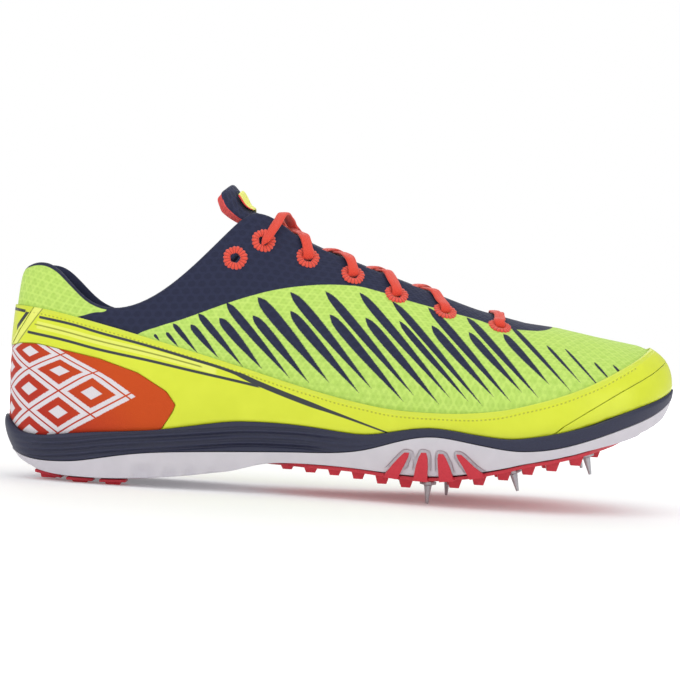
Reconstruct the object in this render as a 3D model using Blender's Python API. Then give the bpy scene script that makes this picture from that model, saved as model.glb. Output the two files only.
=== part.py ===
"""A right cross-country spike shoe: a hollow mesh upper on a two-layer foam sole, with a studded
plate and six steel pins.

The shoe is worked out along ribs. Each rib stands on the sole's outline and runs up the side of the
last to the collar, to the throat or to the ridge of the toe box. X points to the toe, Z up, and the
outer side of the foot is at -Y. The shoe stands on its heel lugs and on the two rear pins.
"""

import functools
import math

import bmesh
import bpy
import numpy as np
from mathutils import Vector

# Overall sizes, in metres
SHOE_LENGTH = 0.2835
BALL_WIDTH = 0.096
COLLAR_HEIGHT = 0.0890  # heel collar's crest above the floor
INSTEP_HEIGHT = 0.1160  # upper corners of the eyestays above the floor
TOE_BOX_HEIGHT = 0.0760  # vamp at the end of the throat above the floor
TONGUE_HEIGHT = 0.1290  # tip of the tongue above the floor
RIM_HEIGHT = 0.0325  # top edge of the midsole at the ball, above the floor

# Walls, layers and clearances
GAP = 0.0003  # between pieces that touch
VAMP_WALL = 0.0018
COLLAR_WALL = 0.0048  # padded
OVERLAY_THICKNESS = 0.0008
RIM_SHELF = 0.0046  # the sole's outline stands out this far from the foot of the upper
CARRIER_FLOOR = 0.0030  # dark foam under the foot
CUP_WALL = 0.0016  # dark foam beside the foot
INSOLE_THICKNESS = 0.0030
PLATE_THICKNESS = 0.0014
PAD_THICKNESS = 0.0012

# Eyelets and lace
EYELET_HOLE_RADIUS = 0.0019
EYELET_RING_RADIUS = 0.0046
EYELET_RING_THICKNESS = 0.0006
EYELET_CELL = 0.0072  # the patch of wall around an eyelet's hole
LACE_WIDTH = 0.0046
LACE_THICKNESS = 0.0012

# Pins
PIN_FLANGE_RADIUS = 0.0034
PIN_FLANGE_HEIGHT = 0.0012
PIN_ROOT_RADIUS = 0.0016
PIN_TIP_RADIUS = 0.0006


def table(columns, *rows):
    """A small table of named columns, with one row for each section."""
    return {name: np.array([row[k] for row in rows], float) for k, name in enumerate(columns.split())}


# The sole's outline. The fullness times the round-ended form in outline() is the half width.
# Station: share of the length. Centre and fullness: shares of the ball width.
OUTLINE = table(
    "station centre fullness",
    (0.000, -0.042, 0.625),
    (0.035, -0.039, 0.600),
    (0.088, -0.033, 0.523),
    (0.159, -0.030, 0.452),
    (0.282, -0.031, 0.365),
    (0.406, -0.044, 0.310),
    (0.511, -0.047, 0.339),
    (0.600, -0.034, 0.417),
    (0.688, -0.013, 0.515),
    (0.748, -0.003, 0.573),
    (0.804, 0.008, 0.620),
    (0.864, 0.023, 0.657),
    (0.917, 0.039, 0.675),
    (0.959, 0.060, 0.667),
    (1.000, 0.094, 0.625),
)

# The sole's levels, as shares of the rim height: the foot's floor, the top edge of the dark carrier,
# the line where it meets the white foam, and the white foam's underside.
LEVELS = table(
    "station floor rim split underside",
    (0.000, 0.450, 0.800, 0.370, 0.330),
    (0.030, 0.445, 0.600, 0.300, 0.240),
    (0.064, 0.440, 0.575, 0.262, 0.130),
    (0.105, 0.440, 0.625, 0.268, 0.082),
    (0.165, 0.455, 0.680, 0.360, 0.082),
    (0.215, 0.475, 0.710, 0.440, 0.112),
    (0.270, 0.505, 0.785, 0.478, 0.160),
    (0.320, 0.535, 0.868, 0.505, 0.232),
    (0.358, 0.555, 0.908, 0.522, 0.286),
    (0.369, 0.560, 0.912, 0.526, 0.372),
    (0.440, 0.590, 0.905, 0.562, 0.418),
    (0.500, 0.610, 0.850, 0.580, 0.415),
    (0.541, 0.625, 0.812, 0.640, 0.395),
    (0.585, 0.640, 0.922, 0.795, 0.362),
    (0.628, 0.650, 0.998, 0.895, 0.354),
    (0.670, 0.660, 0.950, 0.842, 0.394),
    (0.713, 0.672, 0.872, 0.762, 0.468),
    (0.770, 0.715, 0.920, 0.750, 0.608),
    (0.815, 0.800, 1.005, 0.818, 0.690),
    (0.860, 0.915, 1.110, 0.935, 0.805),
    (0.907, 1.070, 1.275, 1.085, 0.915),
    (0.948, 1.215, 1.405, 1.220, 1.045),
    (0.980, 1.345, 1.515, 1.370, 1.190),
    (1.000, 1.440, 1.630, 1.520, 1.330),
)

# How far the sole's side slopes in on its way down, and how deep the two grooves in the dark foam
# are, both as shares of the ball width.
SIDE = table(
    "station bevel groove",
    (0.000, 0.073, 0.000),
    (0.060, 0.050, 0.000),
    (0.160, 0.030, 0.003),
    (0.240, 0.024, 0.009),
    (0.500, 0.024, 0.009),
    (0.570, 0.026, 0.000),
    (0.800, 0.028, 0.000),
    (0.940, 0.036, 0.000),
    (1.000, 0.042, 0.000),
)

# The upper's top edge in three runs. Station: share of the length, at the top of the rib.
# Height: share of the height that the run follows. Gap: half the opening, as a share of the ball
# width, to either side of the foot's centre line.
COLLAR_LINE = table(
    "station height gap",
    (0.016, 0.966, 0.000),
    (0.021, 0.975, 0.100),
    (0.035, 0.994, 0.165),
    (0.055, 1.003, 0.205),
    (0.072, 0.984, 0.228),
    (0.091, 0.930, 0.245),
    (0.123, 0.831, 0.262),
    (0.158, 0.796, 0.268),
    (0.198, 0.825, 0.268),
    (0.240, 0.918, 0.262),
    (0.281, 1.049, 0.250),
)
THROAT_LINE = table(
    "station height gap",
    (0.315, 0.902, 0.235),
    (0.343, 0.978, 0.215),
    (0.363, 0.997, 0.195),
    (0.384, 0.984, 0.180),
    (0.400, 0.955, 0.170),
    (0.428, 0.910, 0.160),
    (0.500, 0.846, 0.148),
    (0.560, 0.799, 0.138),
    (0.635, 0.741, 0.125),
    (0.705, 0.689, 0.108),
    (0.760, 0.663, 0.088),
    (0.785, 0.657, 0.070),
    (0.799, 0.654, 0.045),
)
RIDGE_LINE = table(
    "station height gap",
    (0.808, 0.996, 0.0),
    (0.850, 0.964, 0.0),
    (0.885, 0.943, 0.0),
    (0.924, 0.922, 0.0),
)

# Where the rib that stands at one station of the sole reaches the top edge.
RIB_LEAN = table(
    "station top",
    (0.000, 0.016),
    (0.035, 0.045),
    (0.155, 0.152),
    (0.350, 0.344),
    (0.510, 0.496),
    (0.690, 0.670),
    (0.775, 0.745),
    (0.880, 0.808),
    (0.960, 0.870),
    (1.000, 0.924),
)

# The foot's centre line in plan, as a share of the ball width.
CENTRE = table(
    "station middle",
    (0.000, -0.042),
    (0.160, -0.022),
    (0.350, 0.010),
    (0.530, 0.021),
    (0.700, 0.042),
    (0.810, 0.062),
    (1.000, 0.083),
)

# The swell of each rib. The first pair is the handle of its foot, outwards and up, and the second
# pair is the handle of its top, outwards and down, all as shares of the ball width.
RIBS = table(
    "station out_low up_low out_high down_high",
    (0.000, 0.036, 0.210, 0.026, 0.260),
    (0.070, 0.050, 0.210, 0.060, 0.270),
    (0.160, 0.050, 0.190, 0.035, 0.200),
    (0.280, 0.062, 0.260, 0.062, 0.260),
    (0.350, 0.065, 0.290, 0.095, 0.310),
    (0.410, 0.080, 0.310, 0.145, 0.250),
    (0.510, 0.083, 0.270, 0.180, 0.165),
    (0.600, 0.073, 0.250, 0.225, 0.125),
    (0.690, 0.062, 0.240, 0.245, 0.083),
    (0.765, 0.052, 0.230, 0.245, 0.050),
    (0.830, 0.052, 0.215, 0.245, 0.018),
    (0.870, 0.056, 0.200, 0.252, 0.000),
    (0.940, 0.074, 0.165, 0.290, 0.000),
    (0.975, 0.074, 0.135, 0.250, 0.000),
    (1.000, 0.064, 0.110, 0.200, 0.000),
)

# Eyelet centres: where their rib stands, and their height as a share of the instep height.
EYELETS = table(
    "station height",
    (0.338, 0.836),
    (0.379, 0.905),
    (0.450, 0.847),
    (0.522, 0.797),
    (0.591, 0.734),
    (0.665, 0.684),
    (0.748, 0.641),
)
EYELET_ROWS = table(
    "station share",
    (0.000, 0.720),
    (0.200, 0.700),
    (0.300, 0.740),
    (0.800, 0.740),
    (1.000, 0.800),
)

# Panel edges seen from the side. Station: share of the length. Height: share of the collar height.
BAND_TOP = table(
    "station height",
    (-0.010, 0.815),
    (0.050, 0.798),
    (0.143, 0.740),
    (0.233, 0.673),
    (0.342, 0.588),
    (0.453, 0.496),
    (0.525, 0.447),
    (0.598, 0.421),
    (0.684, 0.426),
    (0.769, 0.482),
    (0.857, 0.583),
    (0.903, 0.660),
    (0.944, 0.736),
    (0.968, 0.790),
    (1.000, 0.900),
)
COUNTER_EDGE = table(
    "station height",
    (-0.030, 0.600),
    (0.000, 0.610),
    (0.028, 0.633),
    (0.054, 0.635),
    (0.086, 0.618),
    (0.147, 0.583),
    (0.206, 0.526),
    (0.248, 0.449),
    (0.262, 0.389),
    (0.258, 0.350),
    (0.240, 0.264),
    (0.232, 0.200),
)
HEEL_TAB_EDGE = table(
    "station height",
    (-0.030, 0.600),
    (0.000, 0.610),
    (0.012, 0.6199),
    (0.052, 0.830),
    (0.045, 0.900),
    (-0.030, 0.900),
)
TOE_CAP_EDGE = table(
    "station height",
    (0.790, 0.340),
    (0.817, 0.398),
    (0.861, 0.487),
    (0.907, 0.575),
    (0.957, 0.662),
    (0.986, 0.723),
    (1.040, 0.830),
    (1.040, 0.200),
    (0.760, 0.200),
)

# The tongue. Its front part lies under the eyestays and follows their ribs, from the first of these
# stations to the second. The rest stands free, on the middle line of its front face: station and
# height are shares of the length and of the tongue height. Half width, droop of the edges and
# thickness are shares of the ball width.
TONGUE_RIBS = (0.772, 0.372)
TONGUE_TURN = 0.62  # share of the rows that follow the ribs
TONGUE_SIDE = 0.0080  # how far it reaches down inside each eyestay
TONGUE_CROWN = 0.0024
TONGUE_RELEASE = 0.0014  # how far it leaves their inner faces at their rear corners
TONGUE_STRIDE = 0.045  # its length behind the eyestays, per share of its rows
TONGUE = table(
    "station height width droop thick",
    (0.765, 0.560, 0.090, 0.010, 0.024),
    (0.640, 0.660, 0.140, 0.020, 0.026),
    (0.520, 0.750, 0.155, 0.030, 0.028),
    (0.440, 0.815, 0.160, 0.040, 0.032),
    (0.400, 0.856, 0.162, 0.050, 0.032),
    (0.374, 0.880, 0.160, 0.058, 0.038),
    (0.357, 0.902, 0.158, 0.070, 0.050),
    (0.345, 0.930, 0.178, 0.092, 0.058),
    (0.335, 0.962, 0.194, 0.104, 0.058),
    (0.319, 1.000, 0.176, 0.084, 0.042),
)
TONGUE_TWIST = 0.0018  # how far its outer edge lies ahead of its middle line, and its inner edge behind
LABEL_SPAN = (0.67, 0.92)  # share of the tongue's rows that its label covers
LABEL_WIDTH = 0.024
LABEL_THICKNESS = 0.0010

# The studded plate under the forefoot
PLATE_BACK = 0.392  # stations of its two ends
PLATE_FRONT = 0.925
PLATE_INSET = 0.0042
STUD_PITCH = 0.0098
STUD_LENGTH = 0.0060
STUD_HEIGHT = 0.0034
PRONGS = table(
    "station lean rise",
    (0.575, -0.022, 0.62),
    (0.617, -0.004, 0.58),
    (0.654, 0.009, 0.58),
    (0.697, 0.027, 0.62),
)
PRONG_WIDTH = 0.0056
PRONG_THICKNESS = 0.0010

# Pins: station, and distance from the sole's centre as a share of the plate's half width.
PINS = table(
    "station side",
    (0.632, -0.68),
    (0.670, 0.66),
    (0.753, -0.66),
    (0.768, 0.64),
    (0.862, -0.52),
    (0.866, 0.52),
)

# Heel pads: station, distance from the sole's centre as a share of its half width, and the length of
# the pad in metres.
HEEL_PADS = table(
    "station side reach",
    (0.077, -0.50, 0.0110),
    (0.077, 0.50, 0.0110),
    (0.126, -0.66, 0.0110),
    (0.126, 0.66, 0.0110),
    (0.175, -0.70, 0.0110),
    (0.175, 0.70, 0.0110),
)

FABRIC = (0.45, 0.78, 0.10)
NAVY = (0.030, 0.040, 0.085)
FLAME = (0.85, 0.08, 0.02)
YELLOW = (0.75, 0.85, 0.02)
PALE = (0.72, 0.71, 0.73)
RED = (0.62, 0.03, 0.05)
STEEL = (0.60, 0.60, 0.62)


def at(rows, column, station):
    """One column of a table at a station, on a smooth line through its rows that never overshoots."""
    x = rows["station"]
    y = rows[column]
    width = np.diff(x)
    slope = np.diff(y) / width
    tangent = np.zeros(len(x))
    tangent[0] = slope[0]
    tangent[-1] = slope[-1]
    for k in range(1, len(x) - 1):
        if slope[k - 1] * slope[k] > 0:
            first = 2 * width[k] + width[k - 1]
            second = width[k] + 2 * width[k - 1]
            tangent[k] = (first + second) / (first / slope[k - 1] + second / slope[k])
    station = min(max(station, x[0]), x[-1])
    k = min(int(np.searchsorted(x, station, side="right")) - 1, len(x) - 2)
    t = (station - x[k]) / width[k]
    return float(
        (2 * t**3 - 3 * t**2 + 1) * y[k]
        + (t**3 - 2 * t**2 + t) * width[k] * tangent[k]
        + (3 * t**2 - 2 * t**3) * y[k + 1]
        + (t**3 - t**2) * width[k] * tangent[k + 1]
    )


def joined(*runs):
    """Tables with one set of columns, put end to end."""
    return {name: np.concatenate([run[name] for run in runs]) for name in runs[0]}


def scaled(run, height):
    """The same table with its heights in metres."""
    return {**run, "height": run["height"] * height}


TOP_LINE = joined(
    scaled(COLLAR_LINE, COLLAR_HEIGHT),
    scaled(THROAT_LINE, INSTEP_HEIGHT),
    scaled(RIDGE_LINE, TOE_BOX_HEIGHT),
)
RIDGE_START = RIDGE_LINE["station"][0]


@functools.cache
def level(name, x):
    """One of the sole's levels above the floor, at x metres from the heel."""
    return at(LEVELS, name, x / SHOE_LENGTH) * RIM_HEIGHT


@functools.cache
def outline(station, side):
    """The sole's outline in plan at a station. Side is -1 on the outer side and 1 on the inner."""
    round_ended = 2 * math.sqrt(max(station * (1 - station), 0.0))
    centre = at(OUTLINE, "centre", station) * BALL_WIDTH
    half = at(OUTLINE, "fullness", station) * BALL_WIDTH * round_ended
    return np.array([station * SHOE_LENGTH, centre + side * half])


@functools.cache
def outward(station, side):
    """The direction in plan that points squarely out of the sole's outline."""
    if station < 1e-9:
        return np.array([-1.0, 0.0])
    if station > 1 - 1e-9:
        return np.array([1.0, 0.0])
    step = 0.4 * min(station, 1 - station, 0.02)
    along = outline(station + step, side) - outline(station - step, side)
    normal = np.array([along[1], -along[0]]) * -side
    return normal / np.linalg.norm(normal)


def inset(station, side, distance):
    """A point of the sole's outline, moved in by a distance."""
    return outline(station, side) - outward(station, side) * distance


@functools.cache
def rib(station, side):
    """The four control points of the upper's outer face along one rib."""
    foot = inset(station, side, RIM_SHELF)
    normal = outward(station, side)
    low = np.array([*foot, level("floor", foot[0]) + GAP])
    top_station = at(RIB_LEAN, "top", station)
    middle = at(CENTRE, "middle", top_station) * BALL_WIDTH
    half = at(TOP_LINE, "gap", top_station) * BALL_WIDTH
    if top_station >= RIDGE_START:
        half = 0.0
    high = np.array([top_station * SHOE_LENGTH, middle + side * half, at(TOP_LINE, "height", top_station)])
    out = np.array([*normal, 0.0])
    up = np.array([0.0, 0.0, 1.0])
    low_handle = low + BALL_WIDTH * (at(RIBS, "out_low", station) * out + at(RIBS, "up_low", station) * up)
    high_handle = high + BALL_WIDTH * (
        at(RIBS, "out_high", station) * out - at(RIBS, "down_high", station) * up
    )
    return low, low_handle, high_handle, high


def along_rib(controls, t):
    """A point of a rib, from 0 at its foot to 1 at its top."""
    a, b, c, d = controls
    s = 1 - t
    return s**3 * a + 3 * s**2 * t * b + 3 * s * t**2 * c + t**3 * d


def last(station, side, t, offset=0.0):
    """A point of the upper's outer face, or of a form that lies an offset outside it."""
    point = along_rib(rib(station, side), t)
    if offset == 0.0:
        return point
    step = 0.004
    near, far = max(station - step, 0.0), min(station + step, 1.0)
    if station < step or station > 1 - step:
        across = np.array([0.0, -float(side), 0.0]) * (1 if station < step else -1)
    else:
        across = along_rib(rib(far, side), t) - along_rib(rib(near, side), t)
    above = along_rib(rib(station, side), min(t + 0.01, 1.0))
    rise = above - along_rib(rib(station, side), max(t - 0.01, 0.0))
    normal = np.cross(across, rise) * side * -1
    if station < step:
        normal = np.cross(np.array([0.0, 1.0, 0.0]), rise) * -1
    if station > 1 - step:
        normal = np.cross(np.array([0.0, 1.0, 0.0]), rise)
    return point + offset * normal / np.linalg.norm(normal)


def rib_at_height(station, side, height_of):
    """How far up a rib the height of a line seen from the side is reached."""
    controls = rib(station, side)
    low, high = 0.0, 1.0
    for _ in range(30):
        middle = (low + high) / 2
        point = along_rib(controls, middle)
        if point[2] < height_of(point[0]):
            low = middle
        else:
            high = middle
    return (low + high) / 2


def rib_length(controls):
    points = [along_rib(controls, t) for t in np.linspace(0, 1, 17)]
    return sum(np.linalg.norm(b - a) for a, b in zip(points, points[1:]))


HEEL_RIBS = 12
TOE_RIBS = 12
HALF_CELL = EYELET_CELL / 2 / SHOE_LENGTH


def rib_stations():
    """Where the ribs stand: close together round heel and toe, and a pair around each eyelet."""
    first = EYELETS["station"][0] - HALF_CELL
    final = EYELETS["station"][-1] + HALF_CELL
    heel_angle = math.acos(1 - 2 * first)
    toe_angle = math.acos(2 * final - 1)
    heel = [(1 - math.cos(heel_angle * k / HEEL_RIBS)) / 2 for k in range(HEEL_RIBS)]
    toe = [(1 + math.cos(toe_angle * k / TOE_RIBS)) / 2 for k in range(TOE_RIBS - 1, -1, -1)]
    middle = []
    for k, centre in enumerate(EYELETS["station"]):
        middle += [centre - HALF_CELL, centre + HALF_CELL]
        if 0 < k < len(EYELETS["station"]) - 1:
            middle.append((centre + EYELETS["station"][k + 1]) / 2)
    return sorted([*heel, *middle, *toe])


STATIONS = rib_stations()
SOLE_STATIONS = [s for k, s in enumerate(STATIONS) if k <= HEEL_RIBS or k % 2 or s > EYELETS["station"][-1]]


def ring(stations, point_of):
    """A closed loop of points round the shoe: up the outer side to the toe and back on the inner."""
    outer = [point_of(s, -1) for s in stations]
    inner = [point_of(s, 1) for s in stations[-2:0:-1]]
    return outer + inner


def mesh_object(name, points, faces, colour, roughness=0.6, metallic=0.0, smooth=True):
    """A named object with its own material, from points and faces. Doubled points become one."""
    mesh = bpy.data.meshes.new(name)
    bm = bmesh.new()
    vertices = [bm.verts.new(Vector(p)) for p in points]
    for face in faces:
        corners = [vertices[k] for k in face]
        if len(set(corners)) > 2:
            bm.faces.new(corners)
    bmesh.ops.remove_doubles(bm, verts=bm.verts, dist=1e-6)
    loose = [vertex for vertex in bm.verts if not vertex.link_faces]
    bmesh.ops.delete(bm, geom=loose, context="VERTS")
    bmesh.ops.recalc_face_normals(bm, faces=bm.faces)
    bm.to_mesh(mesh)
    bm.free()
    if smooth:
        mesh.shade_smooth()
        mesh.set_sharp_from_angle(angle=math.radians(40))
    obj = bpy.data.objects.new(name, mesh)
    bpy.context.scene.collection.objects.link(obj)
    material = bpy.data.materials.new(name)
    material.use_nodes = True
    shader = material.node_tree.nodes["Principled BSDF"]
    shader.inputs["Base Color"].default_value = (*colour, 1.0)
    shader.inputs["Roughness"].default_value = roughness
    shader.inputs["Metallic"].default_value = metallic
    mesh.materials.append(material)
    return obj


def loop_faces(rings):
    """Quads between each loop of points and the next, as point numbers."""
    count = len(rings[0])
    faces = []
    for j in range(len(rings) - 1):
        for i in range(count):
            k = (i + 1) % count
            faces.append((j * count + i, j * count + k, (j + 1) * count + k, (j + 1) * count + i))
    return faces


def cap_faces(first, count):
    """Faces that close a loop of points straight across the shoe, from rib to rib."""
    half = count // 2
    faces = [(first, first + 1, first + count - 1)]
    for i in range(1, half - 1):
        faces.append((first + i, first + i + 1, first + count - i - 1, first + count - i))
    faces.append((first + half - 1, first + half, first + half + 1))
    return faces


def capped_solid(name, rings, *look):
    """A closed solid from loops of points, each end closed straight across."""
    points = [p for loop in rings for p in loop]
    count = len(rings[0])
    faces = loop_faces(rings) + cap_faces(0, count) + cap_faces(len(points) - count, count)
    return mesh_object(name, points, faces, *look)


def tube_solid(name, rings, *look):
    """A closed solid whose section is a loop of loops, such as a band round the shoe."""
    points = [p for loop in rings for p in loop]
    faces = loop_faces([*rings, rings[0]])
    faces = [tuple(k % len(points) for k in face) for face in faces]
    return mesh_object(name, points, faces, *look)


def boolean(obj, other, operation):
    """Joins another solid to this one, or cuts it, and leaves the other out of the model."""
    modifier = obj.modifiers.new(operation.lower(), "BOOLEAN")
    modifier.object = other
    modifier.operation = operation
    other.hide_render = True
    other.display_type = "WIRE"


def side_cutter(name, edge, margin=0.0):
    """A prism across the shoe whose section is an outline seen from the side, shrunk by a margin."""
    corners = np.column_stack([edge["station"] * SHOE_LENGTH, edge["height"] * COLLAR_HEIGHT])
    area = np.sum(corners[:, 0] * np.roll(corners[:, 1], -1) - np.roll(corners[:, 0], -1) * corners[:, 1])
    before = corners - np.roll(corners, 1, axis=0)
    after = np.roll(corners, -1, axis=0) - corners
    moved = []
    for corner, a, b in zip(corners, before, after):
        a = a / np.linalg.norm(a)
        b = b / np.linalg.norm(b)
        bisector = np.array([-(a[1] + b[1]), a[0] + b[0]]) * math.copysign(1, area)
        bisector /= np.linalg.norm(bisector)
        moved.append(corner + bisector * margin)
    half = BALL_WIDTH
    points = [(x, y, z) for y in (-half, half) for x, z in moved]
    count = len(moved)
    faces = loop_faces([range(count), range(count)])
    faces += [tuple(range(count)), tuple(range(count, 2 * count))]
    return mesh_object(name, points, faces, PALE)


def panel_closed(edge):
    """A panel's edge with its last row joined back to its first, below the shoe's side."""
    low = {"station": np.array([-0.030]), "height": np.array([0.100])}
    base = {"station": np.array([edge["station"][-1]]), "height": np.array([0.100])}
    return joined(edge, base, low)


LOWER_ROWS = 5
UPPER_ROWS = 2


def rib_rows(station, side):
    """How far up a rib the upper's rows of points lie. One pair holds the eyelet between them."""
    controls = rib(station, side)
    first, final = EYELETS["station"][0], EYELETS["station"][-1]
    centre = at(EYELET_ROWS, "share", station)
    nearest = min(max(station, first), final)
    target = at(EYELETS, "height", nearest) * INSTEP_HEIGHT
    placed = rib_at_height(nearest, side, lambda x: target)
    away = min(max(first - station, station - final, 0.0) / 0.08, 1.0)
    away = away * away * (3 - 2 * away)
    centre = placed * (1 - away) + centre * away
    half = EYELET_CELL / 2 / rib_length(controls)
    lower = [(centre - half) * k / LOWER_ROWS for k in range(LOWER_ROWS + 1)]
    top = centre + half
    upper = [top + (1 - top) * k / UPPER_ROWS for k in range(UPPER_ROWS + 1)]
    return lower + upper


def wall(station, t):
    """The upper's wall: thin over the foot, and padded towards the collar."""
    padded = min(max((t - 0.45) / 0.40, 0.0), 1.0)
    collar = min(max((0.36 - station) / 0.10, 0.0), 1.0)
    return VAMP_WALL + (COLLAR_WALL - VAMP_WALL) * padded * padded * (3 - 2 * padded) * collar


def make_upper():
    """One hollow wall from collar to toe, open at the collar, the throat and underneath, with a
    hole through both of its faces at each eyelet."""
    rows = {(s, side): rib_rows(s, side) for s in STATIONS for side in (-1, 1)}
    count = LOWER_ROWS + UPPER_ROWS + 2
    outer = []
    inner = []
    for j in range(count):
        outer.append(ring(STATIONS, lambda s, side: last(s, side, rows[s, side][j])))
        inner.append(
            ring(STATIONS, lambda s, side: last(s, side, rows[s, side][j], -wall(s, rows[s, side][j])))
        )
    ridge = [k for k, s in enumerate(STATIONS) if at(RIB_LEAN, "top", s) >= RIDGE_START]
    round_count = len(outer[0])
    crest = []
    for k in range(round_count):
        a, b = np.array(outer[-1][k]), np.array(inner[-1][k])
        rise = a - np.array(outer[-2][k])
        crest.append((a + b) / 2 + rise / np.linalg.norm(rise) * 0.30 * np.linalg.norm(a - b))
    for loop in (outer[-1], inner[-1], crest):
        for k in ridge:
            if 0 < k < len(STATIONS) - 1:
                middle = (np.array(loop[k]) + np.array(loop[round_count - k])) / 2
                loop[k] = middle
                loop[round_count - k] = middle
    loops = outer + [crest] + inner[::-1]
    points = [p for loop in loops for p in loop]
    on_ridge = {k for k in ridge} | {round_count - k for k in ridge}
    eyelet_cells = {}
    for number, centre in enumerate(EYELETS["station"]):
        first = max(k for k, s in enumerate(STATIONS) if s < centre)
        eyelet_cells[first] = (number, -1)
        eyelet_cells[round_count - first - 1] = (number, 1)
    faces = []
    holes = {}
    for j in range(len(loops)):
        following = (j + 1) % len(loops)
        for i in range(round_count):
            k = (i + 1) % round_count
            face = (
                j * round_count + i,
                j * round_count + k,
                following * round_count + k,
                following * round_count + i,
            )
            rim = j in (count - 1, count)
            if rim and i in on_ridge and k in on_ridge:
                continue
            outer_cell = j == LOWER_ROWS
            inner_cell = j == len(loops) - 2 - LOWER_ROWS
            if i in eyelet_cells and (outer_cell or inner_cell):
                holes.setdefault(eyelet_cells[i], []).append(face)
                continue
            faces.append(face)
    eyelets = {}
    for key, (outer_face, inner_face) in holes.items():
        loops_of_hole = []
        axis = None
        for face in (outer_face, inner_face):
            corners = [np.array(points[k]) for k in face]
            middle = sum(corners) / 4
            if axis is None:
                axis = np.cross(corners[2] - corners[0], corners[3] - corners[1])
                axis /= np.linalg.norm(axis)
                if axis[1] * key[1] < 0:
                    axis = -axis
                eyelets[key] = (middle, axis)
            start = len(points)
            for k in range(8):
                toward = corners[k // 2] - middle
                if k % 2:
                    toward = (corners[k // 2] + corners[(k // 2 + 1) % 4]) / 2 - middle
                toward = toward - axis * np.dot(toward, axis)
                points.append(middle + toward / np.linalg.norm(toward) * EYELET_HOLE_RADIUS)
            hole = list(range(start, start + 8))
            loops_of_hole.append(hole)
            for k in range(4):
                faces.append(
                    (face[k], face[(k + 1) % 4], hole[(2 * k + 2) % 8], hole[2 * k + 1], hole[2 * k])
                )
        a, b = loops_of_hole
        nearest = min(range(8), key=lambda k: np.linalg.norm(points[a[0]] - points[b[k]]))
        turn = 1 if np.linalg.norm(points[a[1]] - points[b[(nearest + 1) % 8]]) < EYELET_HOLE_RADIUS else -1
        paired = [b[(nearest + turn * k) % 8] for k in range(8)]
        for k in range(8):
            faces.append((a[k], a[(k + 1) % 8], paired[(k + 1) % 8], paired[k]))
    mesh_object("upper", points, faces, FABRIC, 0.8)
    return eyelets


def make_overlays():
    """The synthetic band round the foot of the upper, cut into rand, heel tab and toe cap, and the
    printed counter that fills its window at the heel. All are cut from forms outside the upper."""

    def band(name, thickness, height_of, colour, roughness):
        def section(offset, share):
            def point_of(station, side):
                rim = level("rim", station * SHOE_LENGTH) + 3 * GAP
                base = rib_at_height(station, side, lambda x: rim)
                top = rib_at_height(station, side, height_of)
                return last(station, side, base + (top - base) * share, offset)

            return ring(SOLE_STATIONS, point_of)

        shares = (0.0, 0.2, 0.4, 0.6, 0.8, 1.0)
        loops = [section(2 * GAP, share) for share in shares]
        loops += [section(2 * GAP + thickness, share) for share in shares[::-1]]
        return tube_solid(name, loops, colour, roughness)

    def band_top(x):
        return at(BAND_TOP, "height", x / SHOE_LENGTH) * COLLAR_HEIGHT

    counter_window = panel_closed(COUNTER_EDGE)
    rand = band("rand", OVERLAY_THICKNESS, band_top, YELLOW, 0.3)
    for name, edge in (("window", counter_window), ("tab", HEEL_TAB_EDGE), ("cap", TOE_CAP_EDGE)):
        boolean(rand, side_cutter("cut_rand_" + name, edge), "DIFFERENCE")
    heel_tab = band("heel_tab", OVERLAY_THICKNESS, band_top, YELLOW, 0.3)
    boolean(heel_tab, side_cutter("keep_heel_tab", HEEL_TAB_EDGE, GAP), "INTERSECT")
    toe_cap = band("toe_cap", OVERLAY_THICKNESS, band_top, YELLOW, 0.2)
    boolean(toe_cap, side_cutter("keep_toe_cap", TOE_CAP_EDGE, GAP), "INTERSECT")
    counter = band("counter", OVERLAY_THICKNESS - GAP, band_top, FLAME, 0.7)
    boolean(counter, side_cutter("keep_counter", counter_window, GAP), "INTERSECT")


def side_inset(station, share):
    """How far in from the outline the sole's side is, from 0 at the rim to 1 at the underside."""
    return at(SIDE, "bevel", station) * BALL_WIDTH * share**2


def bottom_point(station, side, lift=0.0):
    """A point of the edge of the white foam's underside."""
    plan = inset(station, side, side_inset(station, 1.0))
    return np.array([*plan, level("underside", plan[0]) + lift])


def side_reach(station, side, z):
    """How far in from the outline the sole's side is at a height."""
    top = level("rim", station * SHOE_LENGTH)
    bottom = bottom_point(station, side)[2]
    return side_inset(station, min(max((top - z) / (top - bottom), 0.0), 1.0))


def side_point(station, side, z, extra=0.0):
    """A point of the sole's side at a height, or a little further in."""
    return np.array([*inset(station, side, side_reach(station, side, z) + extra), z])


def split_height(station):
    return level("split", station * SHOE_LENGTH)


def under_foot(x):
    """Height of the joint between the two foams under the foot."""
    floor = level("floor", x)
    return floor - min(CARRIER_FLOOR, 0.55 * (floor - level("underside", x)))


def joint_point(station, side, low, gap):
    """A corner of the joint between the two foams: on the ledge inside their side, or below it."""
    split = split_height(station)
    if not low:
        reach = side_reach(station, side, split)
        cup = last(station, side, rib_at_height(station, side, lambda x: split), 2 * GAP)[:2]
        room = np.dot(outline(station, side) - cup, outward(station, side)) - reach
        reach += min(CUP_WALL, room / 2)
        return np.array([*inset(station, side, reach + gap / 2), split + gap / 2])
    reach = CUP_WALL
    for _ in range(5):
        plan = inset(station, side, reach)
        z = min(split - 2 * GAP, under_foot(plan[0]))
        reach = side_reach(station, side, z) + CUP_WALL
    return np.array([*inset(station, side, reach + gap / 2), z + gap / 2])


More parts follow.
